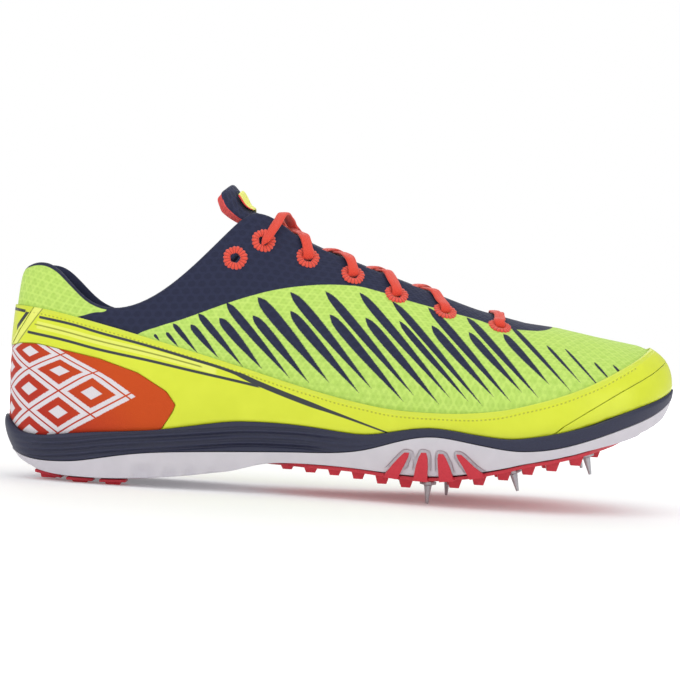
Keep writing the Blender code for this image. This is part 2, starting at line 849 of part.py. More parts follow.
def make_carrier():
    """The dark foam: a cup round the foot of the upper, with two grooves along its side."""
    grooves = (0.34, 0.48, 0.66, 0.80)
    depths = (0.0, 1.0, 0.0, 1.0)

    def wall_of_cup(share):
        def point_of(station, side):
            foot = inset(station, side, RIM_SHELF)
            low = level("floor", foot[0]) + GAP
            z = low + (level("rim", station * SHOE_LENGTH) - low) * share
            if share == 0:
                plan = inset(station, side, RIM_SHELF - 2 * GAP)
                return np.array([*plan, low - GAP])
            t = rib_at_height(station, side, lambda x: z)
            return last(station, side, t, 2 * GAP)

        return point_of

    def side_of(share, groove=0.0):
        def point_of(station, side):
            top = level("rim", station * SHOE_LENGTH)
            low = split_height(station) + GAP / 2
            depth = groove * at(SIDE, "groove", station) * BALL_WIDTH
            return side_point(station, side, top + (low - top) * share, depth)

        return point_of

    def rim_edge(station, side):
        return side_point(station, side, level("rim", station * SHOE_LENGTH), 0.0006)

    loops = [ring(SOLE_STATIONS, wall_of_cup(share)) for share in (0.0, 0.5, 1.0)]
    loops.append(ring(SOLE_STATIONS, rim_edge))
    loops.append(ring(SOLE_STATIONS, side_of(0.16)))
    loops += [ring(SOLE_STATIONS, side_of(s, d)) for s, d in zip(grooves, depths)]
    loops.append(ring(SOLE_STATIONS, side_of(1.0)))
    loops += [ring(SOLE_STATIONS, lambda s, side: joint_point(s, side, low, GAP)) for low in (False, True)]
    capped_solid("midsole_carrier", loops, NAVY, 0.75)


def make_foam():
    """The white foam under the carrier, from the heel to the toe."""

    def side_of(share):
        def point_of(station, side):
            low = bottom_point(station, side)[2]
            high = split_height(station) - GAP / 2
            return side_point(station, side, high + (low - high) * share)

        return point_of

    loops = [ring(SOLE_STATIONS, lambda s, side: joint_point(s, side, low, -GAP)) for low in (True, False)]
    loops += [ring(SOLE_STATIONS, side_of(share)) for share in (0.0, 0.4, 0.75, 1.0)]
    capped_solid("midsole_foam", loops, PALE, 0.6)


def make_insole():
    """The sheet inside, on the carrier's floor."""
    edge = RIM_SHELF + VAMP_WALL + 2 * GAP

    def point_at(lift, extra):
        def point_of(station, side):
            plan = inset(station, side, edge + extra)
            return np.array([*plan, level("floor", plan[0]) + lift])

        return point_of

    loops = [
        ring(SOLE_STATIONS, point_at(GAP, 0.0)),
        ring(SOLE_STATIONS, point_at(GAP + 0.6 * INSOLE_THICKNESS, 0.0)),
        ring(SOLE_STATIONS, point_at(GAP + INSOLE_THICKNESS, 0.0012)),
    ]
    capped_solid("insole", loops, NAVY, 0.8)


def plate_half(station, side):
    """How far the plate reaches from the sole's centre line at a station."""
    centre = at(OUTLINE, "centre", station) * BALL_WIDTH
    reach = abs(inset(station, side, PLATE_INSET)[1] - centre)
    share = (station - PLATE_BACK) / (PLATE_FRONT - PLATE_BACK)
    ends = min(max(4 * share * (1 - share), 0.0) * 2.2, 1.0)
    return reach * ends**0.5


def plate_point(station, side, reach, z):
    centre = at(OUTLINE, "centre", station) * BALL_WIDTH
    return np.array([station * SHOE_LENGTH, centre + side * plate_half(station, side) * reach, z])


def frustum(points, faces, centre, half_long, half_wide, low, high, shrink):
    """Adds a block that narrows from its upper face to its lower one to a list of points."""
    start = len(points)
    for z, share in ((high, 1.0), (low, shrink)):
        for sx, sy in ((-1, -1), (1, -1), (1, 1), (-1, 1)):
            points.append((centre[0] + sx * half_long * share, centre[1] + sy * half_wide * share, z))
    for face in ((0, 1, 2, 3), (4, 5, 6, 7), (0, 1, 5, 4), (1, 2, 6, 5), (2, 3, 7, 6), (3, 0, 4, 7)):
        faces.append(tuple(start + k for k in face))


def plate_level(x):
    """Height of the plate's lower face."""
    return level("underside", x) - GAP - PLATE_THICKNESS


def make_plate():
    """The red plate: a thin sheet under the forefoot with studs, pin bosses, and prongs that climb
    the side of the white foam."""
    count = 22
    angles = [math.pi * k / count for k in range(count + 1)]
    stations = [PLATE_BACK + (PLATE_FRONT - PLATE_BACK) * (1 - math.cos(a)) / 2 for a in angles]

    def sheet(lift):
        def point_of(station, side):
            x = station * SHOE_LENGTH
            return plate_point(station, side, 1.0, level("underside", x) - lift)

        return point_of

    loops = [ring(stations, sheet(GAP)), ring(stations, sheet(GAP + PLATE_THICKNESS))]
    plate = capped_solid("plate", loops, RED, 0.45)
    points, faces = [], []
    first = PLATE_BACK * SHOE_LENGTH + STUD_PITCH
    rows = int((PLATE_FRONT - PLATE_BACK) * SHOE_LENGTH / STUD_PITCH) - 1
    for k in range(rows):
        x = first + k * STUD_PITCH
        station = x / SHOE_LENGTH
        height = STUD_HEIGHT * min(0.45 + 0.12 * k, 1.0)
        z = plate_level(x)
        for side in (-1, 1):
            for reach in (0.82, 0.40) if k % 2 else (0.82,):
                centre = plate_point(station, side, reach, z)
                if near_pin(centre) or plate_half(station, side) * 0.2 < STUD_LENGTH * 0.6:
                    continue
                frustum(points, faces, centre, STUD_LENGTH / 2, STUD_LENGTH / 2, z - height, z + 0.0007, 0.62)
    studs = mesh_object("join_studs", points, faces, RED)
    boolean(plate, studs, "UNION")
    boolean(plate, make_prongs(), "UNION")


def near_pin(centre):
    for station, side in zip(PINS["station"], PINS["side"]):
        pin = plate_point(station, math.copysign(1, side), abs(side), 0.0)
        if np.linalg.norm(pin[:2] - centre[:2]) < PIN_FLANGE_RADIUS + STUD_LENGTH * 0.75:
            return True
    return False


def make_prongs():
    """Fingers from the plate's edge up the side of the foam, four on each side."""
    points, faces = [], []
    steps = (-0.6, 0.0, 0.45, 0.8, 1.0)
    widths = (1.2, 1.0, 0.85, 0.62, 0.34)
    for number in range(len(PRONGS["station"])):
        foot = PRONGS["station"][number]
        for side in (-1, 1):
            start = len(points)
            for step, width in zip(steps, widths):
                climb = max(step, 0.0)
                centre = foot - PRONGS["lean"][number] * climb
                half = PRONG_WIDTH / 2 * width / SHOE_LENGTH
                low = level("underside", centre * SHOE_LENGTH)
                high = split_height(centre)
                z = low + (high - low) * PRONGS["rise"][number] * climb
                corners = ((centre - half, 0), (centre + half, 0), (centre + half, 1), (centre - half, 1))
                for station, cover in corners:
                    skin = GAP * 1.4 + PRONG_THICKNESS * cover
                    if step < 0:
                        plan = inset(station, side, PLATE_INSET + 0.0015)
                        drop = GAP if cover == 0 else GAP + PLATE_THICKNESS
                        points.append((*plan, level("underside", plan[0]) - drop - 0.00002))
                    elif step == 0.0:
                        point = side_point(station, side, z, -skin)
                        drop = GAP if cover == 0 else GAP + PLATE_THICKNESS
                        points.append((point[0], point[1], level("underside", point[0]) - drop - 0.00002))
                    else:
                        points.append(tuple(side_point(station, side, z, -skin)))
            for k in range(len(steps) - 1):
                a = start + 4 * k
                for i in range(4):
                    j = (i + 1) % 4
                    faces.append((a + i, a + j, a + 4 + j, a + 4 + i))
            faces.append((start, start + 1, start + 2, start + 3))
            end = start + 4 * (len(steps) - 1)
            faces.append((end, end + 1, end + 2, end + 3))
    return mesh_object("join_prongs", points, faces, RED)


def turned(name, origin, axis, profile, segments, colour, roughness, metallic):
    """A round piece: pairs of radius and distance along its axis."""
    axis = np.array(axis, float) / np.linalg.norm(axis)
    across = np.cross(axis, [0.0, 1.0, 0.0])
    across /= np.linalg.norm(across)
    third = np.cross(axis, across)
    points = []
    for radius, distance in profile:
        for k in range(segments):
            angle = 2 * math.pi * k / segments
            spoke = across * math.cos(angle) + third * math.sin(angle)
            points.append(np.array(origin) + axis * distance + spoke * radius)
    rings = len(profile)
    faces = []
    for j in range(rings - 1):
        for i in range(segments):
            k = (i + 1) % segments
            faces.append((j * segments + i, j * segments + k, (j + 1) * segments + k, (j + 1) * segments + i))
    faces.append(tuple(range(segments)))
    faces.append(tuple(range((rings - 1) * segments, rings * segments)))
    return mesh_object(name, points, faces, colour, roughness, metallic)


def make_pins():
    """Steel pins screwed into the plate. The rear pair stands on the floor and sets their length."""
    seats = []
    for station, side in zip(PINS["station"], PINS["side"]):
        x = station * SHOE_LENGTH
        slope = (plate_level(x + 0.004) - plate_level(x - 0.004)) / 0.008
        seat = plate_point(station, math.copysign(1, side), abs(side), plate_level(x) - 2 * GAP)
        seats.append((seat, slope))
    length = seats[0][0][2] - 0.0002
    for number, (seat, slope) in enumerate(seats):
        rear = number < 2
        axis = (0.0, 0.0, -1.0) if rear else (slope, 0.0, -1.0)
        reach = seat[2] if rear else length
        drop = 0.0 if rear else 0.0003
        profile = (
            (PIN_FLANGE_RADIUS, drop),
            (PIN_FLANGE_RADIUS, drop + PIN_FLANGE_HEIGHT),
            (PIN_ROOT_RADIUS, drop + PIN_FLANGE_HEIGHT + 0.0004),
            (PIN_TIP_RADIUS, reach),
        )
        turned(f"pin_{number + 1}", seat, axis, profile, 10, STEEL, 0.25, 1.0)


def make_heel_pads():
    """Rubber pads under the heel, each with a flat lug."""
    for number in range(len(HEEL_PADS["station"])):
        station = HEEL_PADS["station"][number]
        share = HEEL_PADS["side"][number]
        side = math.copysign(1, share)
        reach = HEEL_PADS["reach"][number]
        centre_line = at(OUTLINE, "centre", station) * BALL_WIDTH
        edge = inset(station, side, side_inset(station, 1.0))[1]
        centre = (station * SHOE_LENGTH, centre_line + (edge - centre_line) * abs(share))
        half = reach / 2
        corners = [(-half, -half * 0.8), (half, -half * 0.8), (half, half * 0.8), (-half, half * 0.8)]
        points, faces = [], []
        for lift in (2 * GAP, 2 * GAP + PAD_THICKNESS):
            for dx, dy in corners:
                x = centre[0] + dx
                points.append((x, centre[1] + dy, level("underside", x) - lift))
        for face in ((0, 1, 2, 3), (4, 5, 6, 7), (0, 1, 5, 4), (1, 2, 6, 5), (2, 3, 7, 6), (3, 0, 4, 7)):
            faces.append(face)
        pad = mesh_object(f"heel_pad_{number + 1}", points, faces, RED, 0.6)
        points, faces = [], []
        low = 0.0 if station > 0.09 else level("underside", centre[0]) - 0.0028
        high = level("underside", centre[0]) - 2 * GAP - PAD_THICKNESS * 0.5
        frustum(points, faces, centre, half * 0.62, half * 0.5, low, high, 0.85)
        boolean(pad, mesh_object(f"join_lug_{number + 1}", points, faces, RED), "UNION")


@functools.cache
def tongue_sizes(share):
    """Station, height, half width, droop and thickness of the tongue at a share of its rows."""
    rows = {**TONGUE, "station": np.linspace(0, 1, len(TONGUE["station"])), "place": TONGUE["station"]}
    spot = np.array([at(rows, "place", share) * SHOE_LENGTH, at(rows, "height", share) * TONGUE_HEIGHT])
    return spot, [at(rows, name, share) * BALL_WIDTH for name in ("width", "droop", "thick")]


def guided_point(share, across):
    """A point of the tongue's front face where it lies against the eyestays' inner faces. Past
    them it goes on in the direction in which it leaves them."""
    if share > TONGUE_TURN:
        turn = guided_point(TONGUE_TURN, across)
        along = turn - guided_point(TONGUE_TURN - 0.03, across)
        return turn + along / np.linalg.norm(along) * TONGUE_STRIDE * (share - TONGUE_TURN)
    front, back = TONGUE_RIBS
    station = front + (back - front) * share / TONGUE_TURN
    edge = 0.6
    side = -1 if across < 0 else 1
    release = min(max(share / TONGUE_TURN * 5 - 4, 0.0), 1.0)
    clear = -(wall(station, 1.0) + 2 * GAP + TONGUE_RELEASE * release)
    if abs(across) >= edge:
        reach = TONGUE_SIDE * (1 - 0.4 * release)
        down = (abs(across) - edge) / (1 - edge) * reach / rib_length(rib(station, side))
        return last(station, side, 1.0 - down, clear)
    share_across = across / edge
    ends = [last(station, one, 1.0, clear) for one in (-1, 1)]
    point = ends[0] * (1 - share_across) / 2 + ends[1] * (1 + share_across) / 2
    point[2] += TONGUE_CROWN * (1 - share_across**2)
    return point


def free_point(share, across):
    """A point of the tongue's front face where nothing holds it."""
    spot, (width, droop, _) = tongue_sizes(share)
    along = tongue_sizes(min(share + 0.02, 1.0))[0] - tongue_sizes(share - 0.02)[0]
    normal = np.array([along[1], -along[0]]) / np.linalg.norm(along)
    y = at(CENTRE, "middle", spot[0] / SHOE_LENGTH) * BALL_WIDTH + across * width
    fallen = spot - normal * droop * across**2
    return np.array([fallen[0] - TONGUE_TWIST * across, y, fallen[1]])


def tongue_face(share, across):
    """A point of the tongue's front face. Across runs from -1 on the outer side to 1."""
    blend = min(max((share - TONGUE_TURN) / 0.24, 0.0), 1.0)
    blend = blend * blend * (3 - 2 * blend)
    if blend == 0.0:
        return guided_point(share, across)
    if blend == 1.0:
        return free_point(share, across)
    return guided_point(share, across) * (1 - blend) + free_point(share, across) * blend


def tongue_point(share, across, lift):
    """A point above the tongue's front face, or below it where the lift is negative."""
    along = tongue_face(min(share + 0.01, 1.0), across) - tongue_face(max(share - 0.01, 0.0), across)
    over = tongue_face(share, min(across + 0.05, 1.0)) - tongue_face(share, max(across - 0.05, -1.0))
    normal = np.cross(over, along)
    return tongue_face(share, across) + normal / np.linalg.norm(normal) * lift


def sheet_solid(name, rows, columns, low, high, *look):
    """A closed solid between two lifts above the tongue's front face."""
    loops = []
    for share in rows:
        under = [tongue_point(share, across, low(share, across)) for across in columns(share)]
        over = [tongue_point(share, across, high(share, across)) for across in columns(share)]
        loops.append(under + over[::-1])
    points = [p for one in loops for p in one]
    count = len(loops[0])
    faces = loop_faces(loops)
    for start in (0, len(points) - count):
        for k in range(count // 2 - 1):
            faces.append((start + k, start + k + 1, start + count - k - 2, start + count - k - 1))
    mesh_object(name, points, faces, *look)


def make_tongue():
    """A padded tongue that lies under the eyestays and stands up behind them, with a woven label."""
    rows = 22

    def depth(share, across):
        return -tongue_sizes(share)[1][2] * (1 - 0.7 * across**2)

    def spread(share):
        return (-1.0, -0.8, -0.62, -0.40, -0.14, 0.14, 0.40, 0.62, 0.8, 1.0)

    shares = [k / rows for k in range(rows + 1)]
    sheet_solid("tongue", shares, spread, depth, lambda share, across: 0.0, NAVY, 0.85)
    first, final = LABEL_SPAN

    def middle(share):
        reach = (tongue_face(share, 0.6)[1] - tongue_face(share, -0.6)[1]) / 2
        edge = 0.6 * LABEL_WIDTH / 2 / reach
        return (-edge, -edge / 3, edge / 3, edge)

    shares = [first + (final - first) * k / 6 for k in range(7)]
    clear = 3 * GAP
    top = clear + LABEL_THICKNESS
    sheet_solid("tongue_label", shares, middle, lambda *_: clear, lambda *_: top, YELLOW, 0.5)


def make_eyelets(eyelets):
    """A stitched ring round each hole."""
    for (number, side), (centre, axis) in eyelets.items():
        segments = 10
        across = np.cross(axis, [0.0, 0.0, 1.0])
        across /= np.linalg.norm(across)
        third = np.cross(axis, across)
        low = GAP + 0.0001
        profile = (
            (EYELET_HOLE_RADIUS, low),
            (EYELET_RING_RADIUS, low),
            (EYELET_RING_RADIUS - 0.0006, low + EYELET_RING_THICKNESS),
            (EYELET_HOLE_RADIUS + 0.0004, low + EYELET_RING_THICKNESS),
        )
        loops = []
        for radius, distance in profile:
            loop = []
            for k in range(segments):
                angle = 2 * math.pi * k / segments
                spoke = across * math.cos(angle) + third * math.sin(angle)
                loop.append(centre + axis * distance + spoke * radius)
            loops.append(loop)
        label = "outer" if side < 0 else "inner"
        tube_solid(f"eyelet_{label}_{number + 1}", loops, FLAME, 0.7)


def ribbon(points, faces, path, ups, width, thickness):
    """Adds a flat lace along a path to a list of points."""
    start = len(points)
    section = ((-0.5, 0.0), (-0.28, 0.5), (0.28, 0.5), (0.5, 0.0), (0.28, -0.5), (-0.28, -0.5))
    count = len(path)
    for k in range(count):
        along = path[min(k + 1, count - 1)] - path[max(k - 1, 0)]
        along /= np.linalg.norm(along)
        up = ups[k] - along * np.dot(ups[k], along)
        up /= np.linalg.norm(up)
        across = np.cross(along, up)
        for a, b in section:
            points.append(path[k] + across * a * width + up * b * thickness)
    size = len(section)
    for k in range(count - 1):
        for i in range(size):
            j = (i + 1) % size
            a = start + k * size
            faces.append((a + i, a + j, a + size + j, a + size + i))
    faces.append(tuple(start + i for i in range(size)))
    faces.append(tuple(start + (count - 1) * size + i for i in range(size)))


def tongue_top(x, y):
    """Height of the tongue's front face above a place in plan, where the eyestays hold it."""
    low, high = 0.0, 0.75
    for _ in range(24):
        middle = (low + high) / 2
        if tongue_face(middle, 0.0)[0] > x:
            low = middle
        else:
            high = middle
    edges = [tongue_face(low, one)[1] for one in (-0.6, 0.6)]
    across = (y - (edges[0] + edges[1]) / 2) / (edges[1] - edges[0]) * 1.2
    return tongue_face(low, min(max(across, -0.6), 0.6))[2]


def throat_edge(x, side):
    """The upper's top edge beside a place in plan: distance across, and height."""
    station = x / SHOE_LENGTH
    middle = at(CENTRE, "middle", station) * BALL_WIDTH
    return middle + side * at(TOP_LINE, "gap", station) * BALL_WIDTH, at(TOP_LINE, "height", station)


def strand(start, target, side, under, lift):
    """A lace's path from one eyelet, over its own eyestay and across the tongue. It ends either
    over the other eyelet, or low beside the other eyestay where the real lace goes under it."""
    (first, first_axis), (second, second_axis) = start, target
    seat = 3 * GAP + EYELET_RING_THICKNESS + LACE_THICKNESS / 2
    begin = first + first_axis * seat
    end = second + second_axis * seat

    def plan(share):
        return begin[:2] * (1 - share) + end[:2] * share

    def share_of(y):
        return (y - begin[1]) / (end[1] - begin[1])

    own_y, own_z = throat_edge(plan(0.2)[0], side)
    other_y, other_z = throat_edge(plan(0.8)[0], -side)
    over_edge = LACE_THICKNESS / 2 + 0.0020
    own = share_of(own_y)
    middle = tongue_top(*plan(0.5)) + LACE_THICKNESS / 2 + 0.0012 + lift
    marks = [(0.0, begin[2]), (own, own_z + over_edge), (0.5, max(middle, own_z + 0.0008 + lift))]
    if under:
        last_share = share_of(other_y + side * 0.0036)
        marks.append((last_share, tongue_top(*plan(last_share)) + LACE_THICKNESS / 2 + 0.0010))
    else:
        last_share = 1.0
        marks += [(share_of(other_y), other_z + over_edge + 0.0012), (1.0, end[2])]
    heights = table("station z", *marks)
    path, ups = [], []
    samples = 12
    for k in range(samples):
        share = last_share * k / (samples - 1)
        path.append(np.array([*plan(share), at(heights, "z", share)]))
        lean = max(1 - share / 0.3, 0.0)
        lean_end = 0.0 if under else max(1 - (1 - share) / 0.3, 0.0)
        ups.append(first_axis * lean + second_axis * lean_end + np.array([0.0, 0.0, 1 - lean - lean_end]))
    return path, ups


def make_lace(eyelets):
    """One flat lace: a bar across the lowest eyelets, and four crossings above it."""

    def lace(name, number, target, side, under, lift):
        points, faces = [], []
        path, ups = strand(eyelets[number, side], eyelets[target, -side], side, under, lift)
        ribbon(points, faces, path, ups, LACE_WIDTH, LACE_THICKNESS)
        return mesh_object(name, points, faces, FLAME, 0.8)

    lowest = len(EYELETS["station"]) - 1
    lace("lace_bar", lowest, lowest, -1, False, 0.0006)
    for number in range(lowest - 1, 1, -1):
        under = number > 2
        crossing = lace(f"lace_crossing_{number}", number, number - 1, -1, under, 0.0)
        other = lace(f"join_crossing_{number}", number, number - 1, 1, under, 0.0005)
        boolean(crossing, other, "UNION")


def centre_model():
    """Puts the origin under the middle of the shoe's bounding box."""
    bpy.context.view_layer.update()
    graph = bpy.context.evaluated_depsgraph_get()
    corners = []
    for obj in bpy.context.scene.objects:
        if not obj.hide_render:
            evaluated = obj.evaluated_get(graph)
            corners += [evaluated.matrix_world @ Vector(c) for c in evaluated.bound_box]
    low = [min(c[k] for c in corners) for k in range(3)]
    high = [max(c[k] for c in corners) for k in range(3)]
    shift = Vector((-(low[0] + high[0]) / 2, -(low[1] + high[1]) / 2, -low[2]))
    for obj in bpy.context.scene.objects:
        obj.location = obj.location + shift


for startup in list(bpy.data.objects):
    bpy.data.objects.remove(startup)
eyelet_seats = make_upper()
make_overlays()
make_carrier()
make_foam()
make_insole()
make_plate()
make_pins()
make_heel_pads()
make_tongue()
make_eyelets(eyelet_seats)
make_lace(eyelet_seats)
centre_model()
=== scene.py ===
"""The look of a right track spike shoe, in Blender 4.5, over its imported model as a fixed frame."""

import math

import bmesh
import bpy
from mathutils import Matrix, Vector
from mathutils.bvhtree import BVHTree
from mathutils.kdtree import KDTree


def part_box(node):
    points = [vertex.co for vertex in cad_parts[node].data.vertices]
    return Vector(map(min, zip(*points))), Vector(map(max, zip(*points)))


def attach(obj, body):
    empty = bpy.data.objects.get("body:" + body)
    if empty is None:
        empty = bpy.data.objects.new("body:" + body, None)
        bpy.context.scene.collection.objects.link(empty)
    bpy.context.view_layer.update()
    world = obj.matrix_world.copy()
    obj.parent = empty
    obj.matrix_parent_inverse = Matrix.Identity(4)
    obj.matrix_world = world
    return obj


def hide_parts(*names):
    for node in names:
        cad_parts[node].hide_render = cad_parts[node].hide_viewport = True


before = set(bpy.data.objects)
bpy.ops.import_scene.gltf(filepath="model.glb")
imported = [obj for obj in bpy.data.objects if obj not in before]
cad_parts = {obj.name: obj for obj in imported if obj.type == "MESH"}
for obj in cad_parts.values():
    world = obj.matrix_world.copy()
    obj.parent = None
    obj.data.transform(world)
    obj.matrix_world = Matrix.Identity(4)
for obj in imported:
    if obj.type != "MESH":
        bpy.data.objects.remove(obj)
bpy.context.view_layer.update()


# The studio. A pale floor that glows to white away from the shoe, a white ground, and five soft lights:
# overhead, left, right, low in front and behind. The camera looks straight at the outer side from 850 mm
# away, rolled as the photograph is.

FLOOR_GREY = (0.92, 0.92, 0.925, 1.0)
GLOW_REACH = (0.25, 0.95)
GLOW_LEVELS = (0.12, 1.0)
WORLD_LIGHT = 0.50
WORLD_SEEN = 1.0
CAMERA_ACROSS = -0.0022
CAMERA_HEIGHT = 0.065
CAMERA_DISTANCE = 0.850
CAMERA_ROLL = 3.39
CAMERA_LENS = 105.9


def feed(tree, socket, value):
    """Joins another node's output to a socket, or sets the socket to a value."""
    if isinstance(value, bpy.types.NodeSocket):
        tree.links.new(value, socket)
    else:
        socket.default_value = value


def wire(tree, kind, *values, **settings):
    """A shader node, with its inputs in order set to numbers or joined to other nodes' outputs."""
    node = tree.nodes.new("ShaderNode" + kind)
    for name, value in settings.items():
        setattr(node, name, value)
    for socket, value in zip(node.inputs, values):
        if value is not None:
            feed(tree, socket, value)
    return node


def material_for(name):
    """A new material and its node tree."""
    material = bpy.data.materials.new(name)
    material.use_nodes = True
    return material, material.node_tree


bpy.ops.object.select_all(action="DESELECT")
bpy.ops.mesh.primitive_plane_add(size=8.0, location=(0.0, 0.0, 0.0))
floor = bpy.context.object
floor.name = "floor"
floor_material, tree = material_for("pale_floor")
place = wire(tree, "TexCoord").outputs["Object"]
away = wire(tree, "VectorMath", place, (0.0, 0.0, 0.0), operation="DISTANCE").outputs["Value"]
glow = wire(tree, "MapRange", away, *GLOW_REACH, *GLOW_LEVELS, interpolation_type="SMOOTHSTEP").outputs[0]
shader = tree.nodes["Principled BSDF"]
shader.inputs["Base Color"].default_value = FLOOR_GREY
shader.inputs["Roughness"].default_value = 0.7
shader.inputs["Emission Strength"].default_value = 1.0
tree.links.new(glow, shader.inputs["Emission Color"])
floor.data.materials.append(floor_material)

world = bpy.data.worlds.new("studio")
bpy.context.scene.world = world
world.use_nodes = True
tree = world.node_tree
backdrop = tree.nodes["Background"]
backdrop.inputs["Color"].default_value = (1.0, 1.0, 1.0, 1.0)
seen = wire(tree, "LightPath").outputs["Is Camera Ray"]
strength = wire(tree, "MapRange", seen, 0.0, 1.0, WORLD_LIGHT, WORLD_SEEN).outputs[0]
tree.links.new(strength, backdrop.inputs["Strength"])


def soft_light(name, place, target, width, height, watts):
    """A soft box that points at a spot on the shoe."""
    bpy.ops.object.light_add(type="AREA", location=place)
    light = bpy.context.object
    light.name = name
    light.data.shape = "RECTANGLE"
    light.data.size = width
    light.data.size_y = height
    light.data.energy = watts
    light.rotation_euler = (Vector(target) - Vector(place)).to_track_quat("-Z", "Y").to_euler()


soft_light("light_overhead", (0.05, -0.05, 1.20), (0.0, 0.0, 0.03), 1.5, 1.1, 5.8)
soft_light("light_left", (-1.00, -0.65, 0.60), (0.0, 0.0, 0.05), 0.8, 0.8, 2.6)
soft_light("light_right", (1.00, -0.55, 0.55), (0.0, 0.0, 0.05), 0.8, 0.8, 2.3)
soft_light("light_front", (0.05, -1.40, 0.55), (0.0, 0.0, 0.05), 1.6, 0.7, 2.8)
soft_light("light_back", (0.0, 1.10, 0.80), (0.0, 0.0, 0.05), 1.2, 0.7, 3.5)

camera_data = bpy.data.cameras.new("camera")
camera_data.lens = CAMERA_LENS
camera_data.sensor_width = 36.0
camera_data.clip_start = 0.01
camera_data.clip_end = 50.0
camera = bpy.data.objects.new("camera", camera_data)
bpy.context.scene.collection.objects.link(camera)
camera.location = (CAMERA_ACROSS, -CAMERA_DISTANCE, CAMERA_HEIGHT)
level = Vector((0.0, 1.0, 0.0)).to_track_quat("-Z", "Y").to_matrix()
camera.rotation_euler = (level @ Matrix.Rotation(math.radians(CAMERA_ROLL), 3, "Z")).to_euler()
bpy.context.scene.camera = camera
bpy.context.scene.view_settings.view_transform = "Standard"


# The upper. One lasted shell of engineered mesh: a navy quarter and eyestay run into a lime side with
# tapering navy blades, all printed, and the collar has a navy binding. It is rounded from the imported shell.


def node_copy(node, name):
    """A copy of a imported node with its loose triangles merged, selected and in object mode."""
    piece = bpy.data.objects.new(name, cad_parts[node].data.copy())
    bpy.context.scene.collection.objects.link(piece)
    piece.data.materials.clear()
    bpy.ops.object.select_all(action="DESELECT")
    bpy.context.view_layer.objects.active = piece
    piece.select_set(True)
    bpy.ops.object.mode_set(mode="EDIT")
    bpy.ops.mesh.select_all(action="SELECT")
    bpy.ops.mesh.remove_doubles(threshold=0.00001)
    bpy.ops.mesh.tris_convert_to_quads(face_threshold=math.radians(60), shape_threshold=math.radians(89))
    bpy.ops.object.mode_set(mode="OBJECT")
    return piece


def apply(piece, kind, **settings):
    """Adds a modifier to a piece and applies it."""
    modifier = piece.modifiers.new(kind.lower(), kind)
    for name, value in settings.items():
        setattr(modifier, name, value)
    bpy.ops.object.select_all(action="DESELECT")
    bpy.context.view_layer.objects.active = piece
    piece.select_set(True)
    bpy.ops.object.modifier_apply(modifier=modifier.name)


def hold_edges(piece, angle=42.0, amount=0.85):
    """Creases a piece's sharp edges, so that they stay where they are when it is rounded."""
    shell = bmesh.new()
    shell.from_mesh(piece.data)
    crease = shell.edges.layers.float.new("crease_edge")
    for edge in shell.edges:
        if edge.is_manifold and edge.calc_face_angle() > math.radians(angle):
            edge[crease] = amount
    shell.to_mesh(piece.data)
    shell.free()


def smooth(piece, levels):
    """Rounds a piece with a subdivision surface and shades it smooth."""
    apply(piece, "SUBSURF", levels=levels, render_levels=levels)
    bpy.ops.object.shade_smooth()


def fitted(piece, *nodes, slot):
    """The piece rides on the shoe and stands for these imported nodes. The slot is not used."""
    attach(piece, "root")
    if nodes:
        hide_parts(*nodes)


def shade(red, green, blue):
    """A colour from its screen values, 0 to 255."""
    parts = [c / 255 / 12.92 if c < 10.3 else ((c / 255 + 0.055) / 1.055) ** 2.4 for c in (red, green, blue)]
    return (*parts, 1.0)


def calc(tree, operation, *values):
    """One step of arithmetic between masks or lengths."""
    return wire(tree, "Math", *values, operation=operation).outputs[0]


def both(tree, first, *others):
    """The part that some masks share."""
    for mask in others:
        first = calc(tree, "MULTIPLY", first, mask)
    return first


def either(tree, first, *others):
    """All that any of some masks covers."""
    for mask in others:
        first = calc(tree, "MAXIMUM", first, mask)
    return first


def ranged(tree, share, low, high):
    """The figure at a share of the way between two others."""
    return wire(tree, "MapRange", share, 0.0, 1.0, low, high).outputs[0]


def blend(tree, amount, first, second):
    """A colour between two others."""
    node = wire(tree, "Mix", data_type="RGBA")
    for number, value in ((0, amount), (6, first), (7, second)):
        feed(tree, node.inputs[number], value)
    return node.outputs[2]


def tint(tree, colour, mask, amount, other):
    """A colour with an amount of another over it where a mask is."""
    return blend(tree, calc(tree, "MULTIPLY", mask, amount), colour, other)


def above(tree, value, edge, blur=0.12):
    """1 where a length in mm is over an edge, 0 where it is under, with a soft step between."""
    gap = calc(tree, "SUBTRACT", value, edge)
    return wire(tree, "MapRange", gap, -blur, blur, 0.0, 1.0, interpolation_type="SMOOTHSTEP").outputs[0]


def below(tree, value, edge, blur=0.12):
    """1 where a length in mm is under an edge, 0 where it is over, with a soft step between."""
    return above(tree, edge, value, blur)


def near(tree, value, centre, half, blur=0.12):
    """1 within half a width in mm of a centre, 0 beyond it, with a soft step between."""
    return below(tree, calc(tree, "ABSOLUTE", calc(tree, "SUBTRACT", value, centre)), half, blur)


def drawn(tree, value, points):
    """A line drawn through points (where, how much), read at a value."""
    low, high = points[0][0], points[-1][0]
    bottom = min(y for _, y in points) - 1.0
    top = max(y for _, y in points) + 1.0
    share = wire(tree, "MapRange", value, low, high, 0.0, 1.0).outputs[0]
    node = wire(tree, "FloatCurve", 1.0, share)
    line = node.mapping.curves[0]
    while len(line.points) < len(points):
        line.points.new(0.5, 0.5)
    for dot, (x, y) in zip(line.points, points):
        dot.location = ((x - low) / (high - low), (y - bottom) / (top - bottom))
        dot.handle_type = "AUTO_CLAMPED"
    node.mapping.update()
    return ranged(tree, node.outputs[0], bottom, top)


def places(tree):
    """The row frame's X, Y and Z in mm."""
    split = wire(tree, "SeparateXYZ", wire(tree, "TexCoord").outputs["Object"])
    return [calc(tree, "MULTIPLY", split.outputs[k], 1000.0) for k in range(3)]


